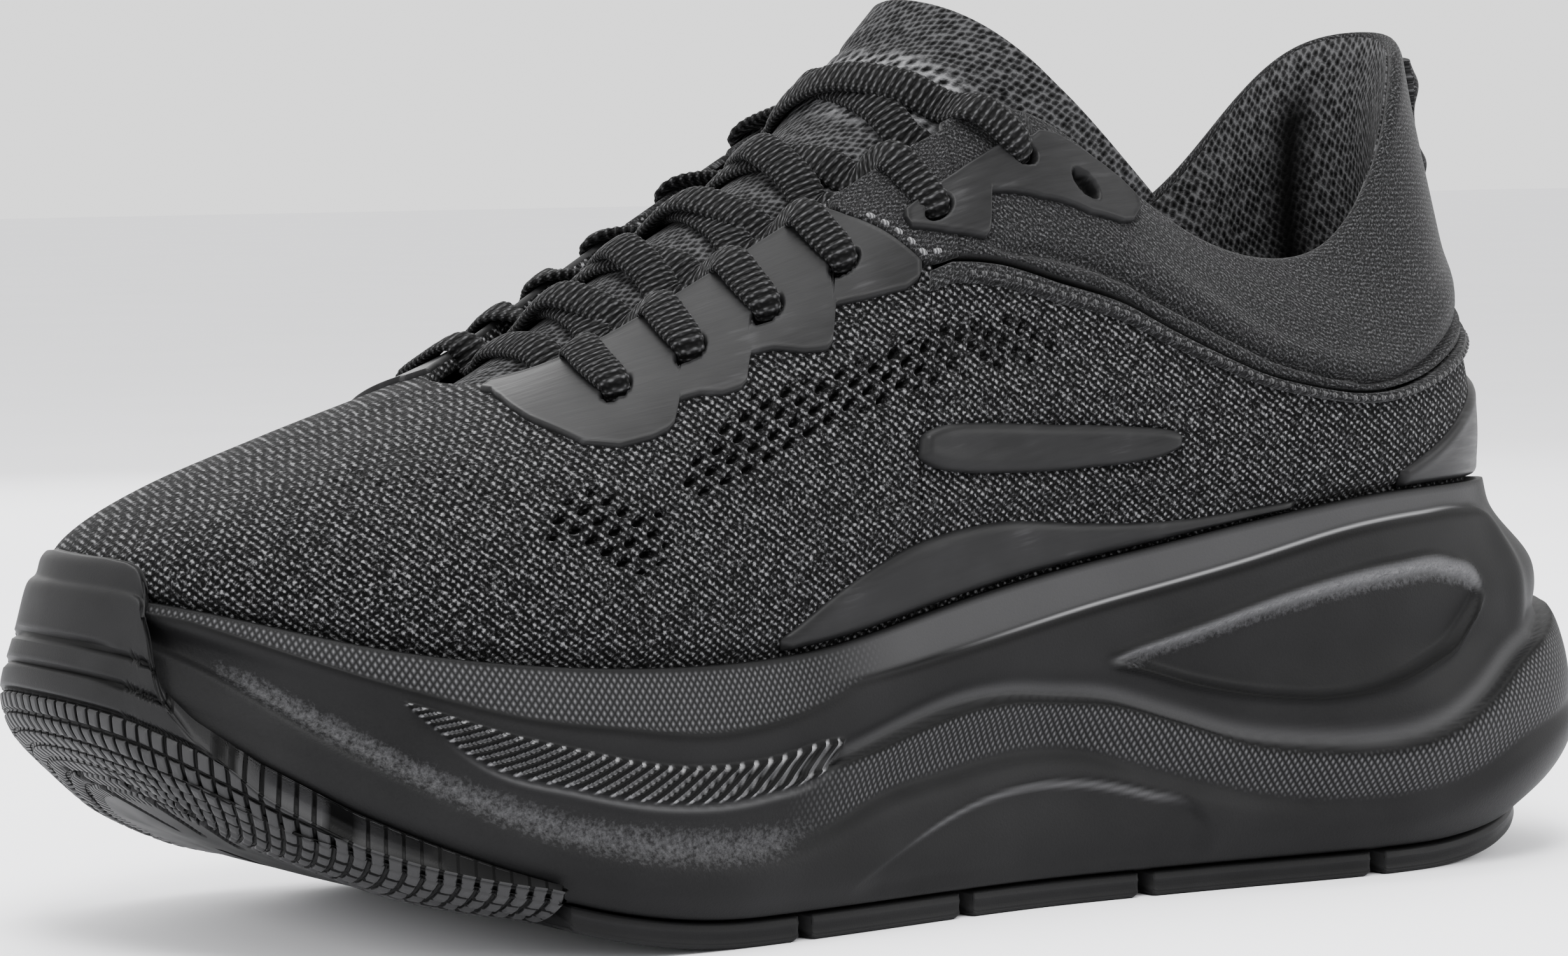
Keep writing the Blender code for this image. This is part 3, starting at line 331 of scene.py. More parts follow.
def wall(t, h):
    """The foam's side before its moulded detail: h is 0 at the rim and 1 at the bottom edge."""
    t, h = np.broadcast_arrays(np.asarray(t, float), np.asarray(h, float))
    a, n, f = upper_controls(t)[..., 0:3], outward(t), flare(t)
    rim = np.interp(np.abs(t - TOE_T), [0, 2, 4], [1.4, 1.8, 2.6])
    offsets = np.stack([rim, rim + 0.9, f[..., 0], f[..., 1], f[..., 2],
                        0.5 * (f[..., 2] + f[..., 3]) + 1.2, f[..., 3]], -1)
    slopes = np.gradient(offsets, WALL_LEVELS, axis=-1)
    i = np.clip(np.searchsorted(WALL_LEVELS, h, side="right") - 1, 0, len(WALL_LEVELS) - 2)[..., None]
    width = WALL_LEVELS[i + 1] - WALL_LEVELS[i]
    start, end = (np.take_along_axis(offsets, k, -1) for k in (i, i + 1))
    slope_start, slope_end = (np.take_along_axis(slopes, k, -1) * width for k in (i, i + 1))
    off = hermite((h[..., None] - WALL_LEVELS[i]) / width, start, end, slope_start, slope_end)
    low = a[..., :2] + n * f[..., 3:4]
    z = a[..., 2] - (a[..., 2] - foam_bottom(low[..., 0])) * h
    return np.concatenate([a[..., :2] + n * off, z[..., None]], -1)


def cup(t, depth, inset=0.0, lift=0.0):
    """The inside of the foam's cup: depth is 0 at the feather line and 1 on the foot bed."""
    t, depth = np.broadcast_arrays(np.asarray(t, float), np.asarray(depth, float))
    a = upper_controls(t)[..., 0:3]
    inward = 1.5 * depth + 4.5 * depth**3 + inset
    xy = a[..., :2] - outward(t) * inward[..., None]
    z = a[..., 2] + depth * (foot_bed(xy[..., 0]) + lift - a[..., 2])
    return np.concatenate([xy, z[..., None]], -1)


def tongue(u, w):
    """The tongue's outer face: u is 0 at the root and 1 at the top, w runs -1 outer to 1 inner."""
    u, w = np.broadcast_arrays(np.asarray(u, float), np.asarray(w, float))
    rows = tongue_rows(u * (len(TONGUE_ROWS) - 1)).reshape(-1, 5, 3)
    out = np.array([spline(r, False)(2 + 2 * s) for r, s in zip(rows, w.ravel())])
    return out.reshape(u.shape + (3,))


def off_tongue(u, w, lift):
    u, w, lift = np.broadcast_arrays(*(np.asarray(x, float) for x in (u, w, lift)))
    e = 0.01
    along = tongue(np.minimum(u + e, 1), w) - tongue(np.maximum(u - e, 0), w)
    across = tongue(u, np.minimum(w + e, 1)) - tongue(u, np.maximum(w - e, -1))
    return tongue(u, w) - unit(np.cross(across, along)) * lift[..., None]


def frame_shift():
    """The stations' coordinates of the frame's origin, from the foam's CAD box."""
    outer = np.linspace(0, TOE_T, CAD_STATIONS + 1)[:-1]
    inner = np.linspace(TOE_T, COUNT, CAD_STATIONS + 1)[:-1]
    sides = wall(np.concatenate([outer, inner])[:, None], CAD_HEIGHTS[None]).reshape(-1, 3)
    low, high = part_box("midsole")
    shift = (sides.min(0) + sides.max(0)) / 2 - np.array((low + high) / 2) / MM
    shift[2] = 0
    return shift


SHIFT = frame_shift()


def place(points):
    return (np.asarray(points, float) - SHIFT) * MM


# ---- meshes
COARSE = 18             # points across the hidden face of a wrapping sheet


def grid_faces(n, m, wrap_n=False, wrap_m=False, start=0):
    """Quads of an n by m grid of points numbered row by row."""
    i, j = np.meshgrid(np.arange(n if wrap_n else n - 1), np.arange(m if wrap_m else m - 1), indexing="ij")
    a, b = i % n, (i + 1) % n
    c, d = j % m, (j + 1) % m
    quads = np.stack([a * m + c, b * m + c, b * m + d, a * m + d], -1)
    return start + quads.reshape(-1, 4)


def link(name, data):
    made = bpy.data.objects.new(name, data)
    bpy.context.scene.collection.objects.link(made)
    return made


def add_piece(name, points, faces, look, uv=None, masks=None, body="shoe"):
    """A smooth mesh on a body, with real-size pattern coordinates and named masks on its points."""
    mesh = bpy.data.meshes.new(name)
    mesh.from_pydata(place(points).tolist(), [], [tuple(f) for f in faces])
    mesh.validate()
    if uv is not None:
        corner = np.zeros(len(mesh.loops), np.int32)
        mesh.loops.foreach_get("vertex_index", corner)
        layer = mesh.uv_layers.new(name="Cloth")
        layer.data.foreach_set("uv", np.asarray(uv, np.float32)[corner].ravel())
    for key, values in (masks or {}).items():
        attribute = mesh.attributes.new(key, "FLOAT", "POINT")
        attribute.data.foreach_set("value", np.asarray(values, np.float32).ravel())
    mesh.shade_smooth()
    mesh.materials.append(look)
    made = link(name, mesh)
    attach(made, body)
    return made


def add_shell(name, outer, inner, look, wrap=False, uv=None, masks=None, body="shoe"):
    """A closed sheet between an outer and an inner grid of points; a wrapping one is coarser inside."""
    n, m = outer.shape[:2]
    picks = np.linspace(0, m - 1, COARSE).round().astype(int) if wrap else np.arange(m)
    inner = inner[:, picks]
    front = np.arange(n * m).reshape(n, m)
    back = n * m + np.arange(n * len(picks)).reshape(n, -1)
    faces = [grid_faces(n, m, wrap), grid_faces(n, len(picks), wrap, start=n * m)[:, ::-1]]

    def borders(grid):
        if wrap:
            return [np.append(grid[:, 0], grid[0, 0]), np.append(grid[::-1, -1], grid[-1, -1])]
        return [np.concatenate([grid[:, 0], grid[-1, 1:], grid[::-1, -1][1:], grid[0, ::-1][1:]])]

    for a, b in zip(borders(front), borders(back)):
        faces.append(np.stack([a[1:], a[:-1], b[:-1], b[1:]], -1))
    if uv is not None:
        uv = np.concatenate([uv.reshape(-1, 2), uv[:, picks].reshape(-1, 2)])
    masks = {k: np.concatenate([v.ravel(), v[:, picks].ravel()]) for k, v in (masks or {}).items()}
    points = np.concatenate([outer.reshape(-1, 3), inner.reshape(-1, 3)])
    return add_piece(name, points, np.concatenate(faces), look, uv, masks, body)


def add_tube(name, sections, look, uv=None, masks=None, body="shoe"):
    """A skin through equal closed sections, with a flat cap at each end."""
    n, m = sections.shape[:2]
    faces = [tuple(f) for f in grid_faces(n, m, wrap_m=True)]
    faces += [tuple(range(m)), tuple(range((n - 1) * m, n * m))[::-1]]
    flat = None if uv is None else uv.reshape(-1, 2)
    masks = {k: v.ravel() for k, v in (masks or {}).items()}
    return add_piece(name, sections.reshape(-1, 3), faces, look, flat, masks, body)


def surface_normals(points, wrap=False):
    """Unit normals of a grid of points, on the side that the upper and the wall face out to."""
    if wrap:
        along = np.roll(points, -1, 0) - np.roll(points, 1, 0)
    else:
        along = np.gradient(points, axis=0)
    return -unit(np.cross(along, np.gradient(points, axis=1)))


def dense(spans):
    """Steps through (start, end, step) spans that follow on from each other."""
    parts = [np.linspace(a, b, round((b - a) / step), endpoint=False) for a, b, step in spans]
    return np.concatenate(parts)


def counted(*spans):
    """Steps through (start, end, count) spans that follow on from each other, and the last end."""
    parts = [np.linspace(start, end, count)[:-1] for start, end, count in spans]
    return np.append(np.concatenate(parts), spans[-1][1])


def face_outwards(made, weld=0.0):
    """Joins a closed piece's points that lie within weld of each other, and turns its faces outwards."""
    work = bmesh.new()
    work.from_mesh(made.data)
    if weld:
        bmesh.ops.remove_doubles(work, verts=work.verts, dist=weld * MM)
    bmesh.ops.recalc_face_normals(work, faces=work.faces)
    work.to_mesh(made.data)
    work.free()


# ---- materials
# painted shade: the near-black inside holes, lace holes and grooves
RECESS_SHADE_BLACK = (0.0005, 0.0005, 0.0005, 1)
# painted shade: the near-black under the foam's steps and lips, and down the lining's fold
PAINTED_SHADE_BLACK = (0.0006, 0.0006, 0.0006, 1)
# painted highlight: the light grey of the foam's edge mask, on up-facing edges and rib tops
EDGE_HIGHLIGHT_GREY = (0.20, 0.20, 0.205, 1)
GRAIN_GREY = (0.075, 0.075, 0.078, 1)
SPECK_GREY = (0.045, 0.045, 0.047, 1)
LUG_GREY = (0.022, 0.022, 0.0225, 1)
BLUE = 1.03             # how much bluer than plain grey every ramp is


class Look:
    """A material under construction, and the few nodes that every finish here is made of."""

    def __init__(self, name, roughness, **fixed):
        self.made = bpy.data.materials.new(name)
        self.made.use_nodes = True
        self.tree = self.made.node_tree
        self.shader = self.tree.nodes["Principled BSDF"]
        self.shader.inputs["Roughness"].default_value = roughness
        for key, value in fixed.items():
            self.shader.inputs[key.replace("_", " ")].default_value = value

    def node(self, kind, inputs=None, **settings):
        node = self.tree.nodes.new("ShaderNode" + kind)
        for key, value in settings.items():
            setattr(node, key, value)
        for key, value in (inputs or {}).items():
            if isinstance(value, bpy.types.NodeSocket):
                self.tree.links.new(value, node.inputs[key])
            else:
                node.inputs[key].default_value = value
        return node

    def cloth(self, turn=0.0, stretch=(1, 1, 1)):
        """Pattern coordinates in millimetres along the surface, turned by an angle."""
        uv = self.node("UVMap", uv_map="Cloth").outputs[0]
        return self.node("Mapping", {0: uv, 2: (0, 0, turn), 3: stretch}).outputs[0]

    def solid(self, turn=(0, 0, 0)):
        """Pattern coordinates in millimetres through space, turned about each axis."""
        at = self.node("TexCoord").outputs["Object"]
        return self.node("Mapping", {0: at, 2: turn, 3: (1 / MM, 1 / MM, 1 / MM)}).outputs[0]

    def noise(self, at, scale, detail=2.0, rough=0.5):
        made = self.node("TexNoise", {"Vector": at, "Scale": scale, "Detail": detail, "Roughness": rough})
        return made.outputs["Fac"]

    def waves(self, at, period, shape="SIN", bend=0.0, along="X"):
        """Ridges one period apart in millimetres."""
        inputs = {"Vector": at, "Scale": math.pi / 10 / period, "Distortion": bend, "Detail": 1.0,
                  "Detail Scale": 2.0}
        return self.node("TexWave", inputs, bands_direction=along, wave_profile=shape).outputs["Fac"]

    def cells(self, at, size, uneven=0.35):
        """Distance from the middles of cells set out in rows, in cell sizes."""
        made = self.node("TexVoronoi", {"Vector": at, "Scale": 1 / size, "Randomness": uneven})
        return made.outputs["Distance"]

    def cuts(self, along, pitch, width=0.5):
        """1 on thin lines a pitch apart in millimetres, 0 between them."""
        fold = self.math("PINGPONG", along, pitch / 2)
        return self.node("MapRange", {0: fold, 1: width / 2, 2: width / 2 + 0.2, 3: 1.0, 4: 0.0}).outputs[0]

    def math(self, kind, a, b=0.5, c=0.5):
        return self.node("Math", {0: a, 1: b, 2: c}, operation=kind).outputs[0]

    def mask(self, name):
        return self.node("Attribute", attribute_name=name).outputs["Fac"]

    def ramp(self, factor, *stops):
        """Colours by factor: each stop is (factor, grey or colour)."""
        made = self.node("ValToRGB", {0: factor})
        elements = made.color_ramp.elements
        while len(elements) < len(stops):
            elements.new(0.5)
        for element, (spot, tone) in zip(elements, stops):
            element.position = spot
            element.color = (tone, tone, tone * BLUE, 1) if isinstance(tone, float) else (*tone, 1)
        return made.outputs[0]

    def mix(self, factor, a, b):
        made = self.node("Mix", {0: factor, 6: a, 7: b}, data_type="RGBA")
        return made.outputs[2]

    def paint(self, colour):
        self.tree.links.new(colour, self.shader.inputs["Base Color"])

    def rough(self, value, low, high):
        """Roughness from a factor, between two values."""
        made = self.node("MapRange", {0: value, 3: low, 4: high})
        self.tree.links.new(made.outputs[0], self.shader.inputs["Roughness"])

    def bump(self, *heights):
        """Relief from (height, depth in millimetres) pairs, one over another."""
        normal = None
        for height, depth in heights:
            inputs = {"Height": height, "Distance": depth * MM, "Strength": 1.0}
            if normal is not None:
                inputs["Normal"] = normal
            normal = self.node("Bump", inputs).outputs[0]
        self.tree.links.new(normal, self.shader.inputs["Normal"])


def foam_look():
    """Matte moulded foam: a pebbled skin, woven-look bands, a speckled ridge, painted highlights and shade.
    """
    look = Look("moulded_foam", 0.6, Specular_IOR_Level=0.06)
    solid = look.solid()
    pebble = look.noise(solid, 2.4, 3.0, 0.6)
    cloud = look.noise(solid, 0.05, 2.0)
    weave = look.math("MULTIPLY", look.waves(look.cloth(0.6), 1.0), look.waves(look.cloth(-0.6), 1.0))
    grain = look.math("MULTIPLY", weave, look.mask("grain"))
    speck = look.math("MULTIPLY", look.noise(solid, 1.1, 2.0, 0.8), look.mask("speckle"))
    tone = look.ramp(look.math("MULTIPLY_ADD", pebble, 0.35, look.math("MULTIPLY", cloud, 0.65)),
                     (0.3, 0.0045), (0.7, 0.0085))
    # the dark mask paints shade and shadow under steps, lips and panels, round the heel drop and between ribs
    tone = look.mix(look.mask("dark"), tone, PAINTED_SHADE_BLACK)
    # the edge mask paints highlights on up-facing edges and rib tops, and a faint lighter band under the rim
    tone = look.mix(look.mask("edge"), tone, EDGE_HIGHLIGHT_GREY)
    tone = look.mix(grain, tone, GRAIN_GREY)
    look.paint(look.mix(look.ramp(speck, (0.26, 0.0), (0.64, 0.9)), tone, SPECK_GREY))
    dull = look.math("MULTIPLY_ADD", look.mask("grain"), 0.5, look.math("MULTIPLY", pebble, 0.5))
    look.rough(dull, 0.45, 0.75)
    look.bump((pebble, 0.05), (grain, 0.35), (speck, 0.3))
    return look.made


def rubber_look():
    """Dense outsole rubber, its small lugs parted by thin cuts painted black as their shade."""
    look = Look("outsole_rubber", 0.5, Specular_IOR_Level=0.08)
    solid = look.solid()
    fine, cloud = look.noise(solid, 3.5, 3.0, 0.6), look.noise(solid, 0.12, 2.0)
    tone = look.ramp(look.math("MULTIPLY_ADD", fine, 0.4, look.math("MULTIPLY", cloud, 0.6)),
                     (0.3, 0.006), (0.7, 0.010))
    lug = look.mask("lug")
    tone = look.mix(lug, tone, LUG_GREY)
    at = look.node("SeparateXYZ", {0: look.cloth()})
    cuts = look.math("MAXIMUM", look.cuts(at.outputs[0], TREAD_W), look.cuts(at.outputs[1], TREAD_L))
    groove = look.math("MAXIMUM", look.mask("groove"), look.math("MULTIPLY", lug, cuts))
    # painted shade: grooves, slots and the cuts between lugs turn near-black
    look.paint(look.mix(groove, tone, RECESS_SHADE_BLACK))
    look.rough(cloud, 0.42, 0.62)
    look.bump((fine, 0.04), (look.math("SUBTRACT", 1.0, groove), 0.5))
    return look.made


def knit_look():
    """Salt-and-pepper engineered knit: slanting ribs of light and dark stitches."""
    look = Look("upper_knit", 0.85, Sheen_Weight=0.02, Sheen_Roughness=0.5, Specular_IOR_Level=0.03)
    ribs = look.waves(look.solid((0, 0.95, 0.2)), 1.1, bend=1.5)
    rows = look.waves(look.solid((0, -0.75, 0.2)), 0.95, bend=2.0)
    speck = look.noise(look.solid((0, 0.6, 0.3)), 1.5, 2.0, 0.75)
    stitch = look.math("MULTIPLY", ribs, look.math("MULTIPLY_ADD", rows, 0.65, 0.35))
    level = look.math("MULTIPLY_ADD", speck, 0.85, look.math("MULTIPLY", stitch, 0.28))
    tone = look.ramp(level, (0.42, 0.001), (0.53, 0.006), (0.63, 0.032), (0.76, 0.12))
    # painted shade: near-black in the vents and lace holes
    look.paint(look.mix(look.mask("hole"), tone, RECESS_SHADE_BLACK))
    look.rough(level, 0.95, 0.75)
    look.bump((level, 0.3))
    return look.made


def film_look():
    """Smooth fused film with faint brushed streaks, lighter in its colour as painted brushed highlights."""
    look = Look("fused_film", 0.4, Specular_IOR_Level=0.09)
    streak = look.noise(look.cloth(0.5, (0.10, 1, 1)), 0.8, 4.0, 0.6)
    cloud = look.noise(look.solid(), 0.1, 2.0)
    # painted highlight: the streaks lighten the colour as brushed highlights; their bump and roughness are
    # the film's own
    shade = look.ramp(look.math("MULTIPLY_ADD", streak, 0.5, look.math("MULTIPLY", cloud, 0.5)),
                      (0.40, 0.006), (0.58, 0.009), (0.72, 0.022))
    # painted shade: near-black in the lace holes
    look.paint(look.mix(look.mask("hole"), shade, RECESS_SHADE_BLACK))
    look.rough(look.math("MAXIMUM", streak, look.mask("hole")), 0.30, 0.60)
    look.bump((streak, 0.06))
    return look.made


def suede_look():
    """Heathered brushed fabric of the collar."""
    look = Look("brushed_fabric", 0.9, Sheen_Weight=0.06, Sheen_Roughness=0.4, Specular_IOR_Level=0.04)
    fine = look.noise(look.cloth(), 2.0, 3.0, 0.8)
    rows = look.waves(look.cloth(1.2), 0.8, bend=2.5)
    level = look.math("MULTIPLY_ADD", fine, 0.93, look.math("MULTIPLY", rows, 0.07))
    tone = look.ramp(level, (0.38, 0.003), (0.52, 0.009), (0.66, 0.055))
    # painted shade: near-black in the lace holes
    look.paint(look.mix(look.mask("hole"), tone, RECESS_SHADE_BLACK))
    look.rough(level, 0.98, 0.8)
    look.bump((level, 0.14))
    return look.made


def mesh_look(name, size, light, dark=0.0012):
    """Open spacer mesh: rounded holes in rows through a grey web."""
    look = Look(name, 0.85, Sheen_Weight=0.02, Specular_IOR_Level=0.03)
    web = look.cells(look.cloth(0.5, (1, 0.8, 1)), size)
    coarse = look.cells(look.cloth(0.5, (1, 0.8, 1)), 1.9)
    fuzz = look.noise(look.cloth(), 2.2, 2.0, 0.7)
    level = look.math("MULTIPLY_ADD", fuzz, 0.45, web)
    tone = look.ramp(level, (0.40, dark), (0.62, light * 0.3), (0.86, light * 1.3))
    lit = look.ramp(look.math("MULTIPLY_ADD", fuzz, 0.35, coarse),
                    (0.42, dark), (0.56, light), (0.80, light * 4))
    tone = look.mix(look.mask("patch"), tone, lit)
    # painted shade: near-black down the fold inside the heel
    look.paint(look.mix(look.mask("crease_shade"), tone, PAINTED_SHADE_BLACK))
    look.rough(web, 0.75, 0.95)
    look.bump((level, 0.5))
    return look.made


def lace_look():
    """Tubular braid: the ribs are in the mesh, and the threads run slantwise over them."""
    look = Look("lace_braid", 0.8, Sheen_Weight=0.03, Specular_IOR_Level=0.05)
    threads = look.math("MULTIPLY", look.waves(look.cloth(0.8), 0.6), look.waves(look.cloth(-0.8), 0.6))
    fuzz = look.noise(look.cloth(), 1.8, 2.0, 0.7)
    # painted highlight and shade: the rib mask lightens each rib's crest and darkens the trough between ribs
    level = look.math("MULTIPLY_ADD", threads, 0.25,
                      look.math("MULTIPLY_ADD", look.mask("rib"), 0.5, look.math("MULTIPLY", fuzz, 0.35)))
    look.paint(look.ramp(level, (0.34, 0.0008), (0.58, 0.005), (0.84, 0.042)))
    look.rough(level, 0.95, 0.75)
    look.bump((threads, 0.12))
    return look.made


def plain_look(name, tone, roughness, size=1.0):
    """A quiet woven or felted finish for the pieces inside the shoe."""
    look = Look(name, roughness, Specular_IOR_Level=0.2)
    grain = look.noise(look.solid(), 1.6 / size, 3.0, 0.65)
    look.paint(look.ramp(grain, (0.3, tone * 0.6), (0.7, tone * 1.5)))
    look.bump((grain, 0.12))
    return look.made


def stitch_look(name, light):
    """Thread, with a fine twist along it."""
    look = Look(name, 0.6, Sheen_Weight=0.1, Specular_IOR_Level=0.1)
    twist = look.waves(look.solid(), 0.5, bend=0.5)
    look.paint(look.ramp(twist, (0.3, light * 0.25), (0.7, light)))
    look.bump((twist, 0.06))
    return look.made


FOAM, RUBBER_FINISH, KNITTED = foam_look(), rubber_look(), knit_look()
FILMED, SUEDE, BRAID = film_look(), suede_look(), lace_look()
PALE_THREAD, DARK_THREAD = stitch_look("pale_thread", 0.14), stitch_look("dark_thread", 0.035)
TONGUE_MESH = mesh_look("tongue_mesh", 1.15, 0.035)
LINING_MESH = mesh_look("lining_mesh", 1.3, 0.04)
BOARD = plain_look("felted_board", 0.5, 0.9)
STIFF = plain_look("stiffener_sheet", 0.01, 0.7)
INSOLE = plain_look("insole_fabric", 0.015, 0.9, 0.6)


# ---- foam sole
RIB_PITCH = 2.2         # spacing of the crescent's ribs along the shoe
RIB_SLANT = 45          # how far a rib would lean over the wall's whole height
DECK_STEPS = 13         # rings from the sole's edge to its middle
UV_ROW = 20             # row of the wall along which the pattern's length is measured
WELD = 0.02             # points closer than this are one, as where a deck's two halves meet


def forefoot_band(s, h, relief, mask):
    """The grained band under the rim of the forefoot, which ends in a small step with painted shade under it.
    """
    band = curve(BAND_LOW)(s)
    fade = ease(s, 8.4, 9.6) * (1 - ease(s, 13.3, 14.2))
    relief -= 0.7 * ease(h, band - 0.012, band + 0.012) * fade * (1 - ease(h, band + 0.05, band + 0.2))
    mask["grain"] += fade * ease(h, 0.01, 0.03) * (1 - ease(h, band - 0.015, band + 0.005))
    # painted shade under the step
    mask["dark"] += 0.6 * hump(h, band + 0.02, 0.02) * fade


def rounded_ridge(s, h, relief, mask):
    """The ridge all round the sole, below which the foam turns under."""
    ridge = curve(RIDGE)(s)
    relief += 1.5 * np.where(h < ridge, hump(h, ridge, 0.13), hump(h, ridge, 0.05))
    mask["speckle"] += 0.9 * hump(h, ridge - 0.02, 0.11) * ease(s, 8.7, 9.7) * (1 - ease(s, 12.8, 13.8))


def rear_panel(s, h, relief, mask):
    """The big side panel of the rear, whose lip hangs over a recessed grained wave, with painted shadow under
    the lip.
    """
    lip, ridge = curve(LIP)(s), curve(RIDGE)(s)
    rear = 1 - ease(s, 8.6, 9.5)
    below = ease(h, lip - 0.006, lip + 0.006)
    relief -= 2.6 * below * rear * (1 - ease(h, lip, ridge + 0.01))**0.8
    relief += 0.8 * hump(h, lip - 0.03, 0.045) * rear
    # painted shadow under the lip
    mask["dark"] += rear * hump(h, lip + 0.012, 0.02)
    mask["grain"] += rear * ease(s, 0.9, 2.4) * between(h, lip + 0.022, ridge - 0.008, 0.012)
    # faint painted highlight on the lip's rounded shoulder
    mask["edge"] += 0.12 * rear * hump(h, lip - 0.03, 0.025)


def rim_step(s, h, relief, mask):
    """The fine step under the rim of the rear, with a painted highlight along it and painted shade under it.
    """
    line = curve(RIM_LINE)(s)
    span = ease(s, 1.8, 2.3) * (1 - ease(s, 8.2, 9.2))
    relief -= 0.8 * ease(h, line - 0.008, line + 0.004) * (1 - ease(h, line + 0.02, line + 0.16)) * span
    # painted highlight: a thin bright line along the step
    mask["edge"] += 0.8 * hump(h, line - 0.003, 0.004) * ease(s, 2.4, 3.4) * (1 - ease(s, 6.5, 8.2))
    # a faint lighter band between the rim and the step
    mask["edge"] += 0.10 * between(h, 0.01, line - 0.012, 0.01) * span
    # painted shade under the step
    mask["dark"] += 0.8 * hump(h, line + 0.02, 0.012) * span
    relief -= 0.9 * hump(s, 2.05, 0.16) * between(h, 0.1, 0.5, 0.05)


def heel_drop(s, h, relief, mask):
    """The raised drop on the heel's side, pointed at its front, with painted shade round it and a painted
    highlight above.
    """
    top, low = curve(TEAR_TOP)(s), curve(TEAR_LOW)(s)
    inside = np.minimum(h - top, low - h)
    held = ease(s, 2.58, 2.75) * (1 - ease(s, 6.35, 6.55))
    relief += (1.5 * ease(inside, 0.0, 0.035) - 0.9 * hump(inside, -0.005, 0.013)) * held
    # painted shade in the groove round the drop
    mask["dark"] += held * hump(inside, -0.004, 0.011)
    shoulder = held * ease(low - top, 0.0, 0.07)
    # painted highlight on the drop's upward-facing upper shoulder
    mask["edge"] += 0.55 * hump(h - top, 0.016, 0.014) * shoulder
    mask["speckle"] += hump(h - top, 0.03, 0.04) * shoulder


def arch_panel(s, h, relief, mask):
    """The low raised panel under the arch, with a painted highlight on its top edge and painted shade above
    it.
    """
    arch = curve(ARCH_TOP)(s)
    raised = ease(h, arch - 0.004, arch + 0.02) * ease(s, 5.5, 5.75) * (1 - ease(s, 8.6, 8.95))
    relief += 0.9 * raised
    # painted highlight on the panel's top edge, and painted shade along the line above it
    mask["edge"] += 0.22 * hump(h, arch + 0.008, 0.01) * ease(s, 5.7, 6.2) * (1 - ease(s, 8.0, 8.6))
    mask["dark"] += 0.6 * hump(h, arch - 0.008, 0.01) * ease(s, 5.7, 6.2) * (1 - ease(s, 8.0, 8.6))


def ribbed_crescent(s, h, x, relief, mask):
    """The crescent of slanted ribs in the forefoot, with painted highlights on the ribs and painted shade
    between them.
    """
    top, low = curve(HATCH_TOP)(s), curve(HATCH_LOW)(s)
    inset = ease(np.minimum(h - top, low - h), 0.0, 0.02) * between(s, 8.95, 11.9, 0.05)
    slant = np.interp(s, [9, 12], [0.65, 1.5])
    phase = np.abs(np.mod((x + slant * h * RIB_SLANT) / RIB_PITCH, 1) - 0.5)
    relief += (1.3 * np.clip(1 - phase / 0.26, 0, 1) - 1.4) * inset
    line = np.clip(1.25 - phase / 0.13, 0, 1) * inset
    # painted highlight on each rib's top, and painted shade in the recess between ribs
    mask["edge"] += 1.6 * line
    mask["dark"] += inset * (1 - line)
    # a faint painted highlight along the crescent's lower rim
    mask["edge"] += 0.16 * hump(h, low + 0.015, 0.012) * between(s, 9.2, 11.5, 0.3)
    relief -= 0.5 * hump(h, low + 0.03, 0.02) * between(s, 9.2, 11.5, 0.3)


def wall_detail(t, h, x):
    """Moulded relief of the foam's side in millimetres, and its masks for the finish, painted highlight and
    shade among them.
    """
    s = from_heel(t)
    relief = np.zeros_like(h)
    mask = {key: np.zeros_like(h) for key in ("grain", "edge", "dark", "speckle")}
    for detail in (forefoot_band, rounded_ridge, rear_panel, rim_step, heel_drop, arch_panel):
        detail(s, h, relief, mask)
    ribbed_crescent(s, h, x, relief, mask)
    return relief, {key: np.clip(value, 0, 1) for key, value in mask.items()}


def deck(edge, level, partner):
    """Rings that carry an edge inwards to the middle, where the outer and the inner side meet."""
    rings = []
    for share in np.linspace(0, 0.5, DECK_STEPS + 1)[1:]:
        ring = edge + (edge[partner] - edge) * share
        ring[:, 2] = level(ring[:, 0])
        rings.append(ring)
    return rings


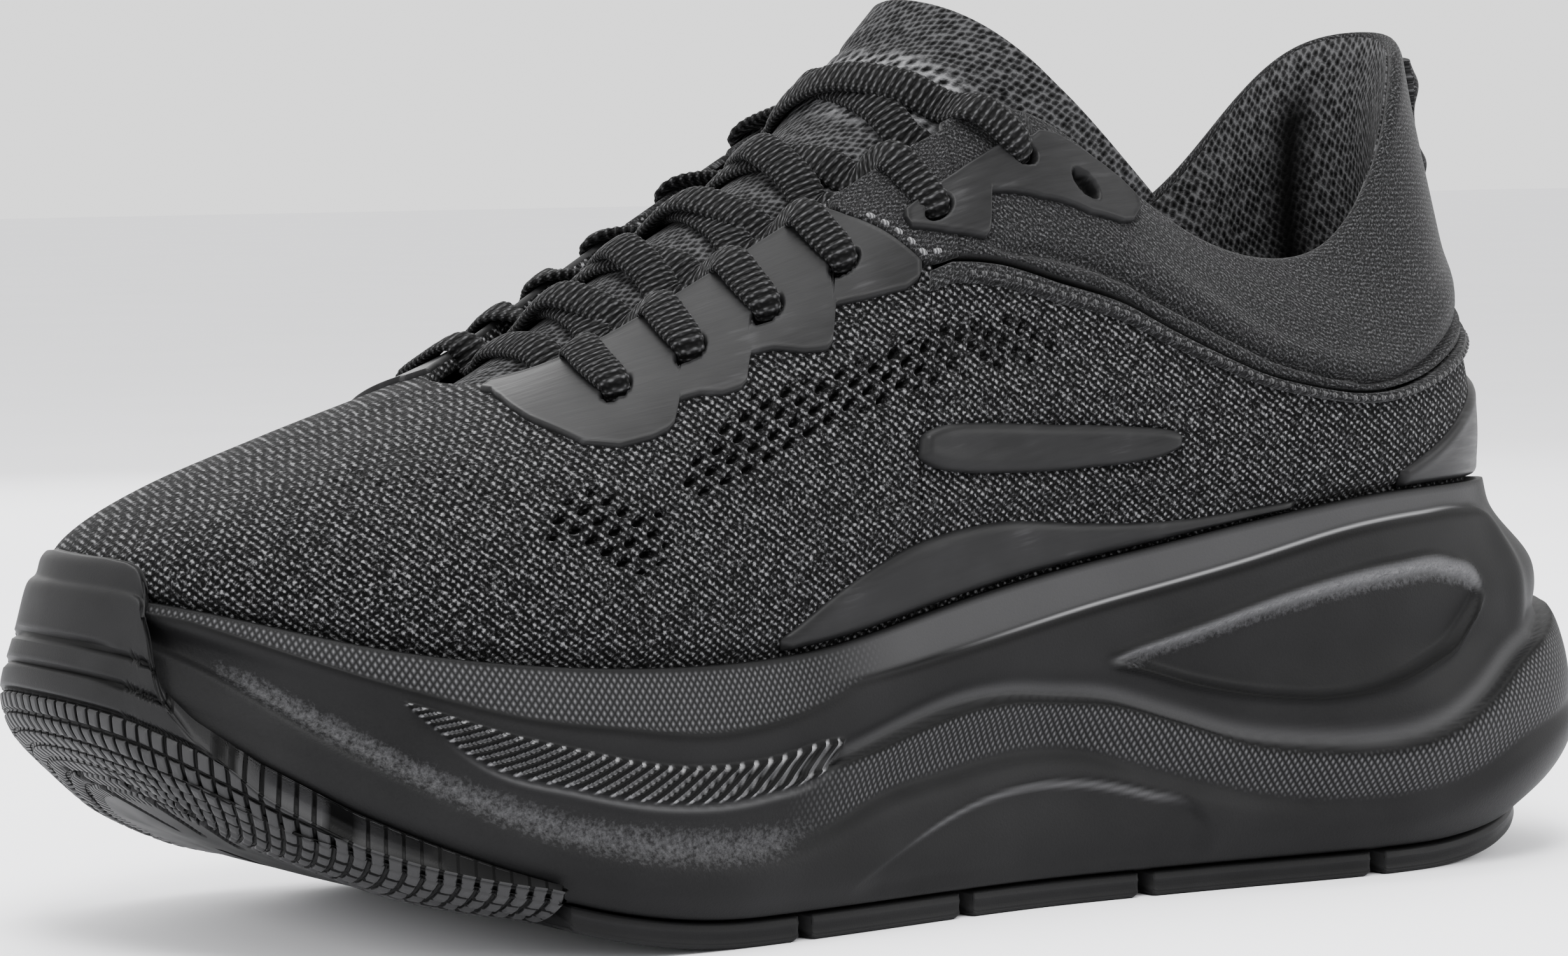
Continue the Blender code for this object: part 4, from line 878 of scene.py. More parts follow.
def build_foam():
    """The foam, as rings from the middle of the foot bed over the rim to the middle of its underside."""
    outer = dense(((0.0, 8.8, 0.032), (8.8, 12.0, 0.0125), (12.0, 15.0, 0.035)))
    inner = dense(((15.0, COUNT - 8.2, 0.035), (COUNT - 8.2, COUNT, 0.032)))
    t = np.concatenate([outer, inner])
    h = counted((0.0, 0.05, 6), (0.05, 0.16, 26), (0.16, 0.60, 56), (0.60, 0.985, 30))
    tt, hh = np.broadcast_arrays(t[:, None], h[None])
    base = wall(tt, hh)
    relief, finish = wall_detail(tt, hh, base[..., 0])
    relief = relief * ease(hh, 0.0, 0.03) * (1 - ease(hh, 0.93, 0.985))
    side = base + surface_normals(base, True) * relief[..., None]

    low = wall(t, np.ones_like(t))
    low[:, :2] -= outward(t) * 2.0
    low[:, 2] = foam_bottom(low[:, 0])
    rim = upper_controls(t)[:, :3].copy()
    rim[:, :2] += outward(t) * 0.4
    down = [cup(t, np.full_like(t, depth), -0.4) for depth in (1.0, 0.9, 0.6, 0.3)]
    ends = [0, len(outer), len(t)]
    partner = np.interp(np.arange(len(t)), ends, ends[::-1]).round().astype(int) % len(t)
    above = deck(down[0], foot_bed, partner)[::-1] + down + [rim]
    below = [low] + deck(low, foam_bottom, partner)
    points = np.concatenate([np.stack(above, 1), base, np.stack(below, 1)], 1)

    shape = points.shape[:2]
    on_side = slice(len(above), len(above) + len(h))
    masks = {key: np.zeros(shape) for key in finish}
    for key, values in finish.items():
        masks[key][:, on_side] = values
    reach = distances(base[:, UV_ROW])
    climb = distances(points, 1)
    uv = np.stack([np.broadcast_to(reach[:, None], shape), climb - climb[:, len(above), None]], -1)
    points[:, on_side] = side
    made = add_piece("midsole_foam", points.reshape(-1, 3), grid_faces(*shape, wrap_n=True), FOAM,
                     uv.reshape(-1, 2), masks)
    face_outwards(made, WELD)
    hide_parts("midsole")


# ---- upper
def arc_length(ts, v):
    """Millimetres along the upper at one height, at each of the stations."""
    return distances(upper(ts, np.full_like(ts, v)))


def rise_at(t):
    """Millimetres up the upper at a station, from the feather line to the opening's edge."""
    heights = np.linspace(0, 1, 30)
    return distances(upper(np.full_like(heights, t), heights))[-1:]


ARC_T = np.linspace(-COUNT / 2, 1.5 * COUNT, 1200)
ARC_MM = arc_length(ARC_T, 0.4)
RISE = spline([rise_at(i) for i in range(COUNT)], True)


def upper_uv(t, v):
    """Pattern coordinates on the upper, in millimetres."""
    t, v = np.broadcast_arrays(np.asarray(t, float), np.asarray(v, float))
    return np.stack([np.interp(t, ARC_T, ARC_MM), v * RISE(t)[..., 0]], -1)


def in_outline(s, v, outline, soft):
    """1 inside an outline of (station, low, high) rows and 0 outside it."""
    x = np.array([r[0] for r in outline], float)
    low = np.interp(s, x, [r[1] for r in outline])
    high = np.interp(s, x, [r[2] for r in outline])
    ends = ease(s, x[0], x[0] + 0.05) * (1 - ease(s, x[-1] - 0.05, x[-1]))
    return ease(np.minimum(v - low, high - v), 0, soft) * ends


VENT_ALONG, VENT_UP = 0.94, 0.34      # direction of the rows of vents on the upper
VENTS = (   # outline rows (station, low, high); hole length and width, pitch along and across, depth
    (((10.15, 0.26, 0.36), (10.3, 0.21, 0.385), (10.6, 0.25, 0.42), (10.8, 0.29, 0.465), (11.1, 0.33, 0.42)),
     2.9, 1.9, 4.2, 3.0, 1.6),
    (((6.8, 0.47, 0.515), (7.35, 0.44, 0.55), (8.05, 0.45, 0.565), (8.75, 0.45, 0.57), (9.1, 0.43, 0.575),
      (9.6, 0.40, 0.595), (9.95, 0.38, 0.52), (10.12, 0.40, 0.44)), 2.9, 1.9, 4.2, 3.0, 1.6),
    (((11.4, 0.45, 0.56), (11.8, 0.48, 0.62), (12.3, 0.49, 0.67), (12.8, 0.56, 0.65)),
     1.7, 1.2, 3.8, 2.8, 0.5),
)


def vents(t, v):
    """Depth of the knit's oval vent holes, and how much painted shade darkens them."""
    s, uv = from_heel(t), upper_uv(t, v)
    depth, dark = np.zeros_like(s), np.zeros_like(s)
    across = np.where(np.mod(t, COUNT) <= TOE_T, 1, -1) * uv[..., 0]
    for outline, length, width, along_pitch, row_pitch, deep in VENTS:
        row = (across * VENT_UP + uv[..., 1] * VENT_ALONG) / row_pitch
        stagger = 0.5 * np.mod(np.floor(row), 2)
        place_in_row = (across * VENT_ALONG - uv[..., 1] * VENT_UP) / along_pitch + stagger
        far = np.hypot((np.mod(place_in_row, 1) - 0.5) * along_pitch / length * 2,
                       (np.mod(row, 1) - 0.5) * row_pitch / width * 2)
        hole = (1 - ease(far, 0.6, 1.1)) * in_outline(s, v, outline, 0.012)
        depth = np.maximum(depth, hole * deep)
        # painted shade in the vents
        dark = np.maximum(dark, hole * min(1.0, deep))
    return depth, dark


def laced_holes(t, v, radius=EYELET_R):
    """How far inside a lace hole each point is: 1 at its middle and 0 outside it."""
    s = from_heel(t)
    found = np.zeros_like(s)
    station_mm = (ARC_MM[-1] - ARC_MM[0]) / (ARC_T[-1] - ARC_T[0]) * EYELET_SCALE
    for place_t, place_v in EYELETS + (SPARE_EYELET,):
        along = (s - place_t) * station_mm
        up = (v - place_v) * RISE(np.full(1, place_t))[0, 0]
        found = np.maximum(found, 1 - ease(np.hypot(along, up), radius * 0.7, radius))
    return found


PATCH = curve(((5.76, 0.31), (6.4, 0.285), (7.0, 0.277), (7.6, 0.30), (8.24, 0.345)))
WELTS = (   # centre line, from and to station, height in millimetres, half width
    (curve(((5.5, 0.47), (6.4, 0.42), (7.3, 0.40), (8.4, 0.46))), 5.5, 8.5, 1.2, 0.028),
    (curve(((5.4, 0.36), (6.4, 0.355), (7.3, 0.355), (8.5, 0.40))), 5.4, 8.6, 0.9, 0.022),
    (curve(((5.4, 0.19), (6.4, 0.20), (7.3, 0.205), (8.0, 0.225), (8.9, 0.20))), 5.4, 9.0, 1.3, 0.03),
)


def knit_relief(t, v):
    """Padded welts, the swell over the toes, shallow waves at the flex, and a tuck at the foam's rim."""
    s = from_heel(t)
    relief = np.zeros_like(s)
    for line, start, end, tall, width in WELTS:
        relief += tall * hump(v, line(s), width) * ease(s, start, start + 0.7) * (1 - ease(s, end - 0.7, end))
    relief += 0.5 * hump(s, 12.2, 1.8) * between(v, 0.15, 0.6, 0.1)
    relief += 0.3 * np.sin(s * 5.1 + v * 9) * hump(s, 9.6, 0.9) * between(v, 0.12, 0.45, 0.08)
    relief -= 0.8 * (1 - ease(v, 0.0, 0.05))
    return relief


def knit_top(t):
    """Height where the knit ends: at the opening's edge in front of the collar, and under its seam."""
    s = from_heel(t)
    return np.where(s >= COLLAR_FRONT, 1.0, collar_seam(np.minimum(s, COLLAR_SEAM[-1][0])) - 0.004)


def build_knit():
    """The knit: from under the foot board, up inside the foam's cup, and over the foot."""
    lateral = dense(((0.0, 6.6, 0.045), (6.6, 11.2, 0.015), (11.2, 13.0, 0.03), (13.0, 15.0, 0.045)))
    medial = dense(((0.0, 6.6, 0.045), (6.6, 11.2, 0.03), (11.2, 13.0, 0.03), (13.0, 15.0, 0.045)))
    ts = np.concatenate([lateral, other_side(medial[::-1])])
    r = counted((0, 0.2, 8), (0.2, 0.6, 56), (0.6, 1.0, 16))
    t, r = np.broadcast_arrays(ts[:, None], r[None])
    v = r * knit_top(ts)[:, None]
    depth, dark = vents(t, v)
    laced = laced_holes(t, v)
    lift = knit_relief(t, v) - depth - 2.0 * laced
    outer = off_upper(t, v, lift)
    inner = off_upper(t, v, -KNIT)
    deep, under = [[cup(ts, np.full_like(ts, depth), inset, GAP)[:, None] for depth in (0.96, 0.6, 0.25)]
                   for inset in (0.0, KNIT)]
    uv = upper_uv(t, v)
    down = [np.stack([uv[:, 0, 0], np.full(len(ts), -d)], -1)[:, None] for d in (24.0, 15.0, 6.0)]
    clear = np.zeros((len(ts), len(deep)))
    face = np.concatenate([*deep, outer], 1)
    # hole: painted shade in the vents and the lace holes
    made = add_shell("upper_knit_body", face, np.concatenate([*under, inner], 1), KNITTED, True,
                     np.concatenate([*down, uv], 1),
                     {"hole": np.concatenate([clear, np.maximum(dark, laced)], 1)})
    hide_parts("upper_knit")


def patch_grid(ts, low, high, base, thick, steps, edge=1.0, pierced=False):
    """A film on the upper between two heights: its outer and inner grids, coordinates and holes."""
    r = (1 - np.cos(np.linspace(0, np.pi, steps))) / 2
    t = np.broadcast_to(ts[:, None], (len(ts), steps))
    s = from_heel(t)
    v = low(s) + (high(s) - low(s)) * r[None]
    uv = upper_uv(t, v)
    width = uv[:, -1:, 1] - uv[:, :1, 1]
    ends = np.minimum(np.abs(uv[..., 0] - uv[:1, :, 0]), np.abs(uv[-1:, :, 0] - uv[..., 0]))
    near = np.minimum(np.minimum(r * width, (1 - r) * width), ends)
    full = np.sqrt(1 - (1 - np.clip(near / edge, 0, 1))**2)
    laced = laced_holes(t, v) if pierced else np.zeros_like(s)
    lift = base - 0.25 + (thick + 0.25) * full - 3.0 * laced
    lift += 0.12 * hump(near, edge * 1.2, edge * 0.7)
    return off_upper(t, v, lift), off_upper(t, v, base - 0.9 - 3.0 * laced), uv, laced


def both_sides(name, ts, low, high, base, thick, steps, edge, pierced=False):
    """One overlay film on each side of the shoe, as patch_grid lays it."""
    for side in ("lateral", "medial"):
        stations = ts if side == "lateral" else other_side(ts[::-1])
        outer, inner, uv, laced = patch_grid(stations, low, high, base, thick, steps, edge, pierced)
        # hole: painted shade in the lace holes
        made = add_shell(f"{name}_film_{side}", outer, inner, FILMED, uv=uv, masks={"hole": laced})
        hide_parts(f"{name}_{side}")


TAB_LOW = (
    (6.05, 0.95), (6.10, 0.915), (6.2, 0.865), (6.32, 0.838), (6.65, 0.799), (7.11, 0.782), (7.45, 0.79),
    (7.62, 0.795), (7.66, 0.71), (7.70, 0.702), (8.03, 0.737), (8.37, 0.787), (8.43, 0.823),
)
TAB_HIGH = (
    (6.05, 0.955), (6.12, 0.967), (6.25, 0.973), (6.53, 0.967), (6.88, 0.962), (7.05, 0.95), (7.13, 0.93),
    (7.3, 0.915), (7.5, 0.90), (7.67, 0.885), (7.94, 0.866), (8.17, 0.855), (8.40, 0.838), (8.43, 0.828),
)
RAND_TOP = ((4.6, 0.035), (5.4, 0.05), (6.6, 0.10), (7.6, 0.15), (8.3, 0.15), (8.9, 0.10), (9.3, 0.035))
HEEL_TOP = ((0, 0.30), (1, 0.28), (2, 0.24), (3, 0.12), (3.6, 0.05))
FILM_FOOT = 0.012       # height at which the low films start


def film_foot(s):
    """The low edge of the films that start just over the foam."""
    return np.full_like(s, FILM_FOOT)


def patch_half(s):
    """Half the height of the side patch, a bar with rounded ends."""
    return 0.045 * np.sqrt(np.clip(1 - ((s - 7.0) / 1.25)**6, 0, 1)) + 0.003


def build_films():
    """Eyestay, eyelet tab, low rand and patch on each side, and one film round the heel."""
    both_sides("eyestay", np.arange(8.27, 12.25, 0.014), straight(EYESTAY_EDGE), straight(EYESTAY_TOP),
               GAP, 0.55, 44, 0.5, True)
    both_sides("eyelet_tab", np.arange(6.06, 8.43, 0.012), straight(TAB_LOW), straight(TAB_HIGH),
               1.4, 0.8, 40, 0.6, True)
    both_sides("side_rand", np.arange(4.6, 9.3, 0.06), film_foot, curve(RAND_TOP), GAP, 0.9, 16, 2.0)
    both_sides("side_patch", np.arange(5.76, 8.24, 0.03), lambda s: PATCH(s) - patch_half(s),
               lambda s: PATCH(s) + patch_half(s), GAP + 0.4, 1.2, 20, 1.6)

    ts = np.arange(-3.4, 3.41, 0.05)
    outer, inner, uv, laced = patch_grid(ts, film_foot, curve(HEEL_TOP), GAP, FILM, 22, 1.4)
    # hole: the painted-shade mask, empty on the heel film
    made = add_shell("heel_film", outer, inner, FILMED, uv=uv, masks={"hole": laced})
    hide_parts("heel_overlay")


# ---- collar
ROLL = curve((
    (0, 0.47), (2, 0.455), (3.1, 0.45), (3.75, 0.47), (4.6, 0.575), (5.3, 0.68), (6.2, 0.70), (7.0, 0.67),
    (7.6, 0.69), (7.98, 0.78),
))
padding_depth = straight(PADDING)
edge_rise = straight(((0, 3.4), (4, 2.6), (6, 1.6), (8, 1.4)))
LIP_ANGLE = 2.45        # where the lining is sewn to the collar's top edge: 0 outside, pi inside


def collar_stations(step=0.05, end=7.98):
    """Stations round the heel, from the inner side's collar front to the outer side's."""
    half = np.arange(0, end, step)
    return np.concatenate([(other_side(half[::-1]) - COUNT)[:-1], half])


def padding(t, v):
    """Depth of the foam behind the collar's outer fabric."""
    thick = padding_depth(from_heel(t))
    seam = collar_seam(from_heel(t))
    s = np.clip((v - seam) / (1 - seam), 0, 1)
    return 1.2 + (thick - 1.2) * np.sin(np.pi * np.clip(0.16 + 0.9 * s, 0, 1))**0.6


def collar_swell(t, v, r):
    """How far the padding stands out: rounded above and below the rolled groove, and flat at its front."""
    s = from_heel(t)
    seam, groove = collar_seam(s), ROLL(s)
    swell = 1.0 * np.sin(np.pi * np.clip(r * 0.95 + 0.03, 0, 1))
    swell = swell + (0.9 * np.sin(np.pi * np.clip((v - seam) / (groove - seam), 0, 1))
                     - 1.5 * hump(v, groove, 0.012))
    swell += 0.8 * hump(v, groove + 0.07, 0.05) * (1 - ease(s, 5.5, 7.5))
    return swell + (0.9 - swell) * ease(s, 7.2, 7.9)


def collar_grid():
    """Stations and heights over the collar, and how far its padding stands out and reaches in."""
    ts = collar_stations()
    seam = collar_seam(from_heel(ts))[:, None]
    r = np.linspace(0, 1, 34)[None]
    v = seam + 0.01 + (0.99 - seam) * r
    t = np.broadcast_to(ts[:, None], v.shape)
    return ts, t, v, collar_swell(t, v, r), 1.8 + padding(t, v)


def over_edge(ts, out, back, angle, extra=0.0):
    """A line over the collar's top edge, between its outer face at angle 0 and its inner face at pi."""
    top = np.ones(len(ts))
    up = unit(upper(ts, top) - upper(ts, 0.97 * top))
    level = (out + back) / 2 + ((out - back) / 2 + extra) * np.cos(angle)
    rise = (edge_rise(from_heel(ts)) + extra) * np.sin(angle)
    return off_upper(ts, top, level) + up * rise[:, None]


def collar_uv(ts, grid):
    """Pattern coordinates in millimetres round the upper and up a grid of the collar."""
    up = distances(grid, 1)
    return np.stack([np.broadcast_to(np.interp(ts, ARC_T, ARC_MM)[:, None], up.shape), up], -1)


def build_collar():
    """The padding under its outer fabric, over the top edge and down its back."""
    ts, t, v, swell, behind = collar_grid()
    laced = laced_holes(t, v, 3.2)
    outer = off_upper(t, v, swell - 3.5 * laced)
    inner = off_upper(t, v, -behind)
    over = [over_edge(ts, swell[:, -1], -behind[:, -1], angle) for angle in np.linspace(0, np.pi, 14)[1:-1]]
    sections = np.concatenate([outer, np.stack(over, 1), inner[:, ::-1]], 1)
    # hole: painted shade in the lace holes
    hole = np.zeros(sections.shape[:2])
    hole[:, :laced.shape[1]] = laced
    made = add_tube("collar_padding", sections, SUEDE, collar_uv(ts, sections), {"hole": hole})
    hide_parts("collar_panel", "collar_foam")


def build_collar_lining():
    """The lining, from low inside the heel to the top edge, with painted shade down a fold on the inner side.
    """
    ts, t, v, swell, behind = collar_grid()
    low = np.linspace(0.10, 1, 6)[None, :-1] * (collar_seam(from_heel(ts))[:, None] - 0.02)
    v = np.concatenate([low, v[:, ::2]], 1)
    t = np.broadcast_to(ts[:, None], v.shape)
    room = np.concatenate([np.full(low.shape, KNIT + 2.0), behind[:, ::2]], 1)
    room[:, 3:5] = np.maximum(room[:, 3:5], room[:, 5:6])
    lip, lip_back = (over_edge(ts, swell[:, -1], -behind[:, -1], LIP_ANGLE, extra)[:, None]
                     for extra in (0.5, 0.1))
    face = np.concatenate([off_upper(t, v, -room - 0.9), lip], 1)
    back = np.concatenate([off_upper(t, v, -room - 0.3), lip_back], 1)
    signed = from_heel(t) * np.sign(np.mod(t, COUNT) - TOE_T)
    # painted shade: a dark band down the fold, fading out towards the top edge
    crease_shade = hump(signed, CREASE - 0.5 * (v - 0.7), 0.3) * ease(1 - v, 0.02, 0.12)
    crease_shade = np.concatenate([crease_shade, crease_shade[:, -1:]], 1)
    made = add_shell("collar_inner_lining", back, face, LINING_MESH, uv=collar_uv(ts, face),
                     masks={"patch": np.zeros(face.shape[:2]), "crease_shade": crease_shade})
    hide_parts("collar_lining")


def build_binding():
    """The tape over the seam under the collar, with a row of stitches along it."""
    ts = collar_stations(end=8.24)
    r = np.linspace(0, 1, 9)[None]
    v = collar_seam(from_heel(ts))[:, None] - 0.046 + 0.042 * r
    t = np.broadcast_to(ts[:, None], v.shape)
    rounded = np.sqrt(1 - (1 - np.minimum(np.minimum(r, 1 - r) * 5, 1))**2)
    made = add_shell("collar_seam_tape", off_upper(t, v, 0.3 + 1.0 * rounded), off_upper(t, v, -0.6), SUEDE,
                     uv=upper_uv(t, v))
    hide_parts("quarter_binding")
    add_stitches("collar_stitches", ts[4:-4], lambda s: collar_seam(s) - 0.03, 1.35, 2.2, DARK_THREAD,
                 (1.1, 0.5, 0.4))


STITCH_RINGS = ((-1, 0.15), (-0.75, 0.7), (0, 1), (0.75, 0.7), (1, 0.15))     # place along, size
STITCH_SIDES = 6
FRONT_SEAM = (
    (7.93, 0.688), (8.1, 0.69), (8.26, 0.70), (8.32, 0.722), (8.58, 0.815), (8.86, 0.91), (8.99, 0.97),
)


def build_collar_front():
    """The fabric that runs on from the collar to the opening's edge, stitched down over the knit."""
    low = straight(FRONT_SEAM)
    for side in ("lateral", "medial"):
        ts = np.arange(FRONT_SEAM[0][0], FRONT_SEAM[-1][0], 0.03)
        ts = ts if side == "lateral" else other_side(ts[::-1])
        outer, inner, uv, laced = patch_grid(ts, low, lambda s: np.full_like(s, 0.992),
                                             0.35, 0.75, 30, 0.7, True)
        # hole: painted shade in the lace holes
        made = add_shell(f"collar_front_{side}", outer, inner, SUEDE, uv=uv, masks={"hole": laced})
        add_stitches(f"front_stitches_{side}", ts[3:-3], lambda s: low(s) + 0.02, 1.15, 2.7, PALE_THREAD)


def stitch(at, front, up, size):
    """Rings of points round one thread hump, thin at both ends."""
    side = np.cross(front, up)
    turn = np.arange(STITCH_SIDES)[:, None] * 2 * np.pi / STITCH_SIDES
    ring = up * np.sin(turn) * size[2] + side * np.cos(turn) * size[1]
    return np.concatenate([at + front * along * size[0] / 2 + ring * share for along, share in STITCH_RINGS])


def add_stitches(name, ts, height, lift, pitch, look, size=(1.6, 0.6, 0.45)):
    """A row of short thread humps that lies along the upper."""
    fine = np.linspace(ts[0], ts[-1], 2000)
    line = off_upper(fine, height(from_heel(fine)), lift)
    along = distances(line)
    marks = np.arange(pitch, along[-1] - pitch, pitch)

    def on_line(spots):
        return np.stack([np.interp(spots, along, line[:, k]) for k in range(3)], -1)

    t = np.interp(marks, along, fine)
    at, ahead, up = on_line(marks), on_line(marks + 0.3), upper_normal(t, height(from_heel(t)))
    points, faces = [], []
    rings = len(STITCH_RINGS)
    for spot, front, rise in zip(at, unit(ahead - at), up):
        start = len(points)
        last = start + (rings - 1) * STITCH_SIDES
        points += list(stitch(spot, front, rise, size))
        faces += [tuple(q) for q in grid_faces(rings, STITCH_SIDES, wrap_m=True, start=start)]
        faces += [tuple(range(start, start + STITCH_SIDES))[::-1], tuple(range(last, last + STITCH_SIDES))]
    return add_piece(name, points, faces, look)


def build_pull_tab():
    """A tape down the back of the heel, gathered into two ridges."""
    ts = np.linspace(-0.46, 0.46, 22)
    v = np.broadcast_to(np.linspace(0.64, 0.985, 60)[None], (22, 60))
    t = np.broadcast_to(ts[:, None], v.shape)
    ridge = 1.9 * hump(v, 0.925, 0.042) + 1.8 * hump(v, 0.745, 0.036)
    side = np.sqrt(1 - (np.abs(t) / 0.47)**4)
    face = off_upper(t, v, 1.3 + (1.2 + ridge) * side)
    made = add_shell("heel_pull_loop", face, off_upper(t, v, 0.3), SUEDE, uv=upper_uv(t, v))
    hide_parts("heel_pull_tab")


# ---- tongue
tongue_depth = straight(((0, 3.0), (0.1, 5.5), (0.9, 6.5), (1, 5.0)))


def tongue_swell(w):
    """1 over the middle of the tongue, and 0 at its side edges."""
    return 1.0 - w**8


def tongue_thickness(u, w):
    return tongue_depth(u) * (0.35 + 0.65 * tongue_swell(w))


def build_tongue():
    """The padding, quilted along two lines, with a coarser mesh window near its top."""
    u, w = np.broadcast_arrays(np.linspace(0.005, 1, 110)[:, None], np.linspace(-1, 1, 65)[None])
    quilt = 0.5 * hump(w, 0.62, 0.05) + 0.5 * hump(w, -0.62, 0.05)
    lift = 0.9 * tongue_swell(w) - 0.5 * quilt * ease(u, 0.1, 0.3) - 0.5 * hump(u, 0.90, 0.012)
    outer, inner = off_tongue(u, w, lift), off_tongue(u, w, -tongue_thickness(u, w))
    end = unit(outer[-1] - outer[-4])
    middle, half = (outer[-1] + inner[-1]) / 2, (outer[-1] - inner[-1]) / 2
    over = [middle + half * np.cos(angle) + end * np.sin(angle) for angle in np.linspace(0, np.pi, 8)[1:-1]]
    loop = np.concatenate([outer, np.stack(over), inner[::-1]])
    uv = np.stack([distances(loop, 1), distances(loop)], -1)
    lit = np.zeros(loop.shape[:2])
    lit[:len(u)] = between(u, 0.72, 0.87, 0.02) * between(w, -0.5, 0.5, 0.1)
    made = add_tube("tongue_padding", loop.swapaxes(0, 1), TONGUE_MESH, uv.swapaxes(0, 1),
                    {"patch": lit.T}, "tongue")
    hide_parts("tongue_face", "tongue_foam")


def build_tongue_lining():
    """The mesh on the tongue's back, just under its padding."""
    u, w = np.broadcast_arrays(np.linspace(0.02, 0.97, 50)[:, None], np.linspace(-0.94, 0.94, 30)[None])
    thick = tongue_thickness(u, w)
    face = off_tongue(u, w, -thick - 0.2)
    made = add_shell("tongue_inner_lining", face, off_tongue(u, w, -thick - 0.9), LINING_MESH,
                     uv=np.stack([w * 30, u * 150], -1), masks={"patch": np.zeros(u.shape)}, body="tongue")
    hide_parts("tongue_lining")


# ---- lace
RIBBON = 6.7            # width of the lace as it lies, tube pressed flat
RIB = 1.35              # spacing of the braid's ribs
LACE_STEP = 0.27
LACE_SIDES = 18
SMOOTHING = 24          # how many times the lace's route and its twist are evened out
PRESSED = 1.9           # its thickness where it is pulled down over a film
OVER, UNDER = GAP + 0.65 + PRESSED / 2, -(KNIT + 0.75 + LACE_T / 2)
LOW, HIGH = 0.9 + LACE_T / 2, 3.3 + LACE_T / 2
TOP_ROW = len(EYELETS) - 1
LEAN = (0.42, 0.30, 0.30, 0.30, 0.36, 0.42)     # stations each lace leans toe-ward over its film


def toe_ward(side):
    """Which way along the stations the toe lies."""
    return 1 if side < 0 else -(COUNT - TOE_T) / TOE_T


def eyelet(side, row):
    t, v = EYELETS[row]
    return (t if side < 0 else other_side(t)), v


def eyelet_u(row, lean=0.0):
    """How far along the tongue a lace crosses the opening's edge beside the given row."""
    u = np.linspace(0, 1, 400)
    return float(u[np.abs(tongue(u, -0.5)[:, 0] - upper(EYELETS[row][0] + lean, 1.0)[0]).argmin()])


def lace_stop(spot, normal, width=RIBBON, thick=LACE_T):
    return (*spot, *normal, width, thick)


def beside_eyelet(side, row, share, lift, past=0.0):
    """A stop above or below the upper, part of the way from a hole to the opening's edge and past it."""
    t, v = eyelet(side, row)
    lean = LEAN[row] * toe_ward(side) if lift > 0 else 0.0
    if row == TOP_ROW:
        lift += 1.3 if lift > 0 else -1.6
    start, end = (t, v), (t + lean, 1.0)
    at = [a + (b - a) * share for a, b in zip(start, end)]
    step = unit(upper(*end) - upper(t + lean * 0.9, 1 - (1 - v) * 0.1))
    thick = PRESSED if lift > 0 else LACE_T
    return lace_stop(off_upper(*at, lift) + step * past, upper_normal(*at), thick=thick)


def through_eyelet(side, row):
    """Down through the hole, from above the film to under the knit."""
    t, v = eyelet(side, row)
    n, spot = upper_normal(t, v), upper(t, v)
    up_edge = unit(upper(t, v + 0.05) - spot)
    lean = LEAN[row] * toe_ward(side)
    along = unit(upper(t + lean * 0.2, v + (1 - v) * 0.2) - spot)
    deep, high = (UNDER, OVER) if row < TOP_ROW else (UNDER - 1.6, OVER + 1.0)
    return [lace_stop(spot + n * (high - 0.2) + along * 2.4, unit(n - along * 0.2), 6.2, 2.6),
            lace_stop(spot + n * 0.6, unit(-along), 4.7, 2.6),
            lace_stop(spot + n * (deep + 2.0), unit(-up_edge), 4.0, 2.2),
            lace_stop(spot + n * deep + up_edge * 1.6, unit(-n - up_edge * 0.3), 4.4, 2.0)]


def over_tongue(side, first, last, on_top):
    """From one side's row to the other side's next row, lying on the tongue."""
    u0, u1 = eyelet_u(first), eyelet_u(last, LEAN[last])
    stops = []
    for w in (0.5, 0.36, 0.2, 0.0, -0.2, -0.36, -0.5):
        share = (0.6 - w) / 1.2
        lift = LOW + (HIGH - LOW) * on_top * hump(share, 0.5, 0.2)
        u = u0 + (u1 - u0) * share
        stops.append(lace_stop(off_tongue(u, w * side, lift),
                               unit(off_tongue(u, w * side, 1.0) - tongue(u, w * side))))
    return stops


def lace_end(side):
    """From the top eyelet, tucked forward under the quarter beside the tongue."""
    start = TUCK_FROM if side < 0 else other_side(TUCK_FROM)
    stops = []
    for along, v, lift, size in ((0.15, 0.80, 6.4, 4.4), (0.5, 0.75, 6.5, 4.4), (1.1, 0.71, 5.6, 4.4),
                                 (1.8, 0.66, 4.9, 4.4), (2.3, 0.64, 4.8, 2.8), (2.5, 0.635, 4.8, 2.2),
                                 (2.9, 0.632, 4.8, 2.2), (3.3, 0.63, 5.1, 2.2)):
        s = start + toe_ward(side) * along
        stops.append(lace_stop(off_upper(s, v, -lift), -upper_normal(s, v), size, min(size, LACE_T)))
    return stops


def lace_stops():
    """The whole lace, from one tucked end to the other, as spots with a facing and a size."""
    def run(side):
        stops = []
        for row in range(TOP_ROW + 1):
            stops += [beside_eyelet(side, row, 1.0, OVER - 0.3, 0.3), beside_eyelet(side, row, 0.6, OVER)]
            stops += through_eyelet(side, row)
            if row == TOP_ROW:
                stops += lace_end(side)
                break
            stops += [beside_eyelet(side, row, 0.65, UNDER), beside_eyelet(side, row, 1.0, UNDER - 0.2, 1.6)]
            stops += over_tongue(side, row, row + 1, on_top=(side * (-1)**row) > 0)
            side = -side
        return stops

    u = eyelet_u(0, LEAN[0])
    bar = [lace_stop(off_tongue(u, w, LOW), unit(off_tongue(u, w, 1.0) - tongue(u, w)))
           for w in (-0.5, -0.35, -0.15, 0.15, 0.35, 0.5)]
    return np.array(run(-1)[::-1] + bar + run(1))


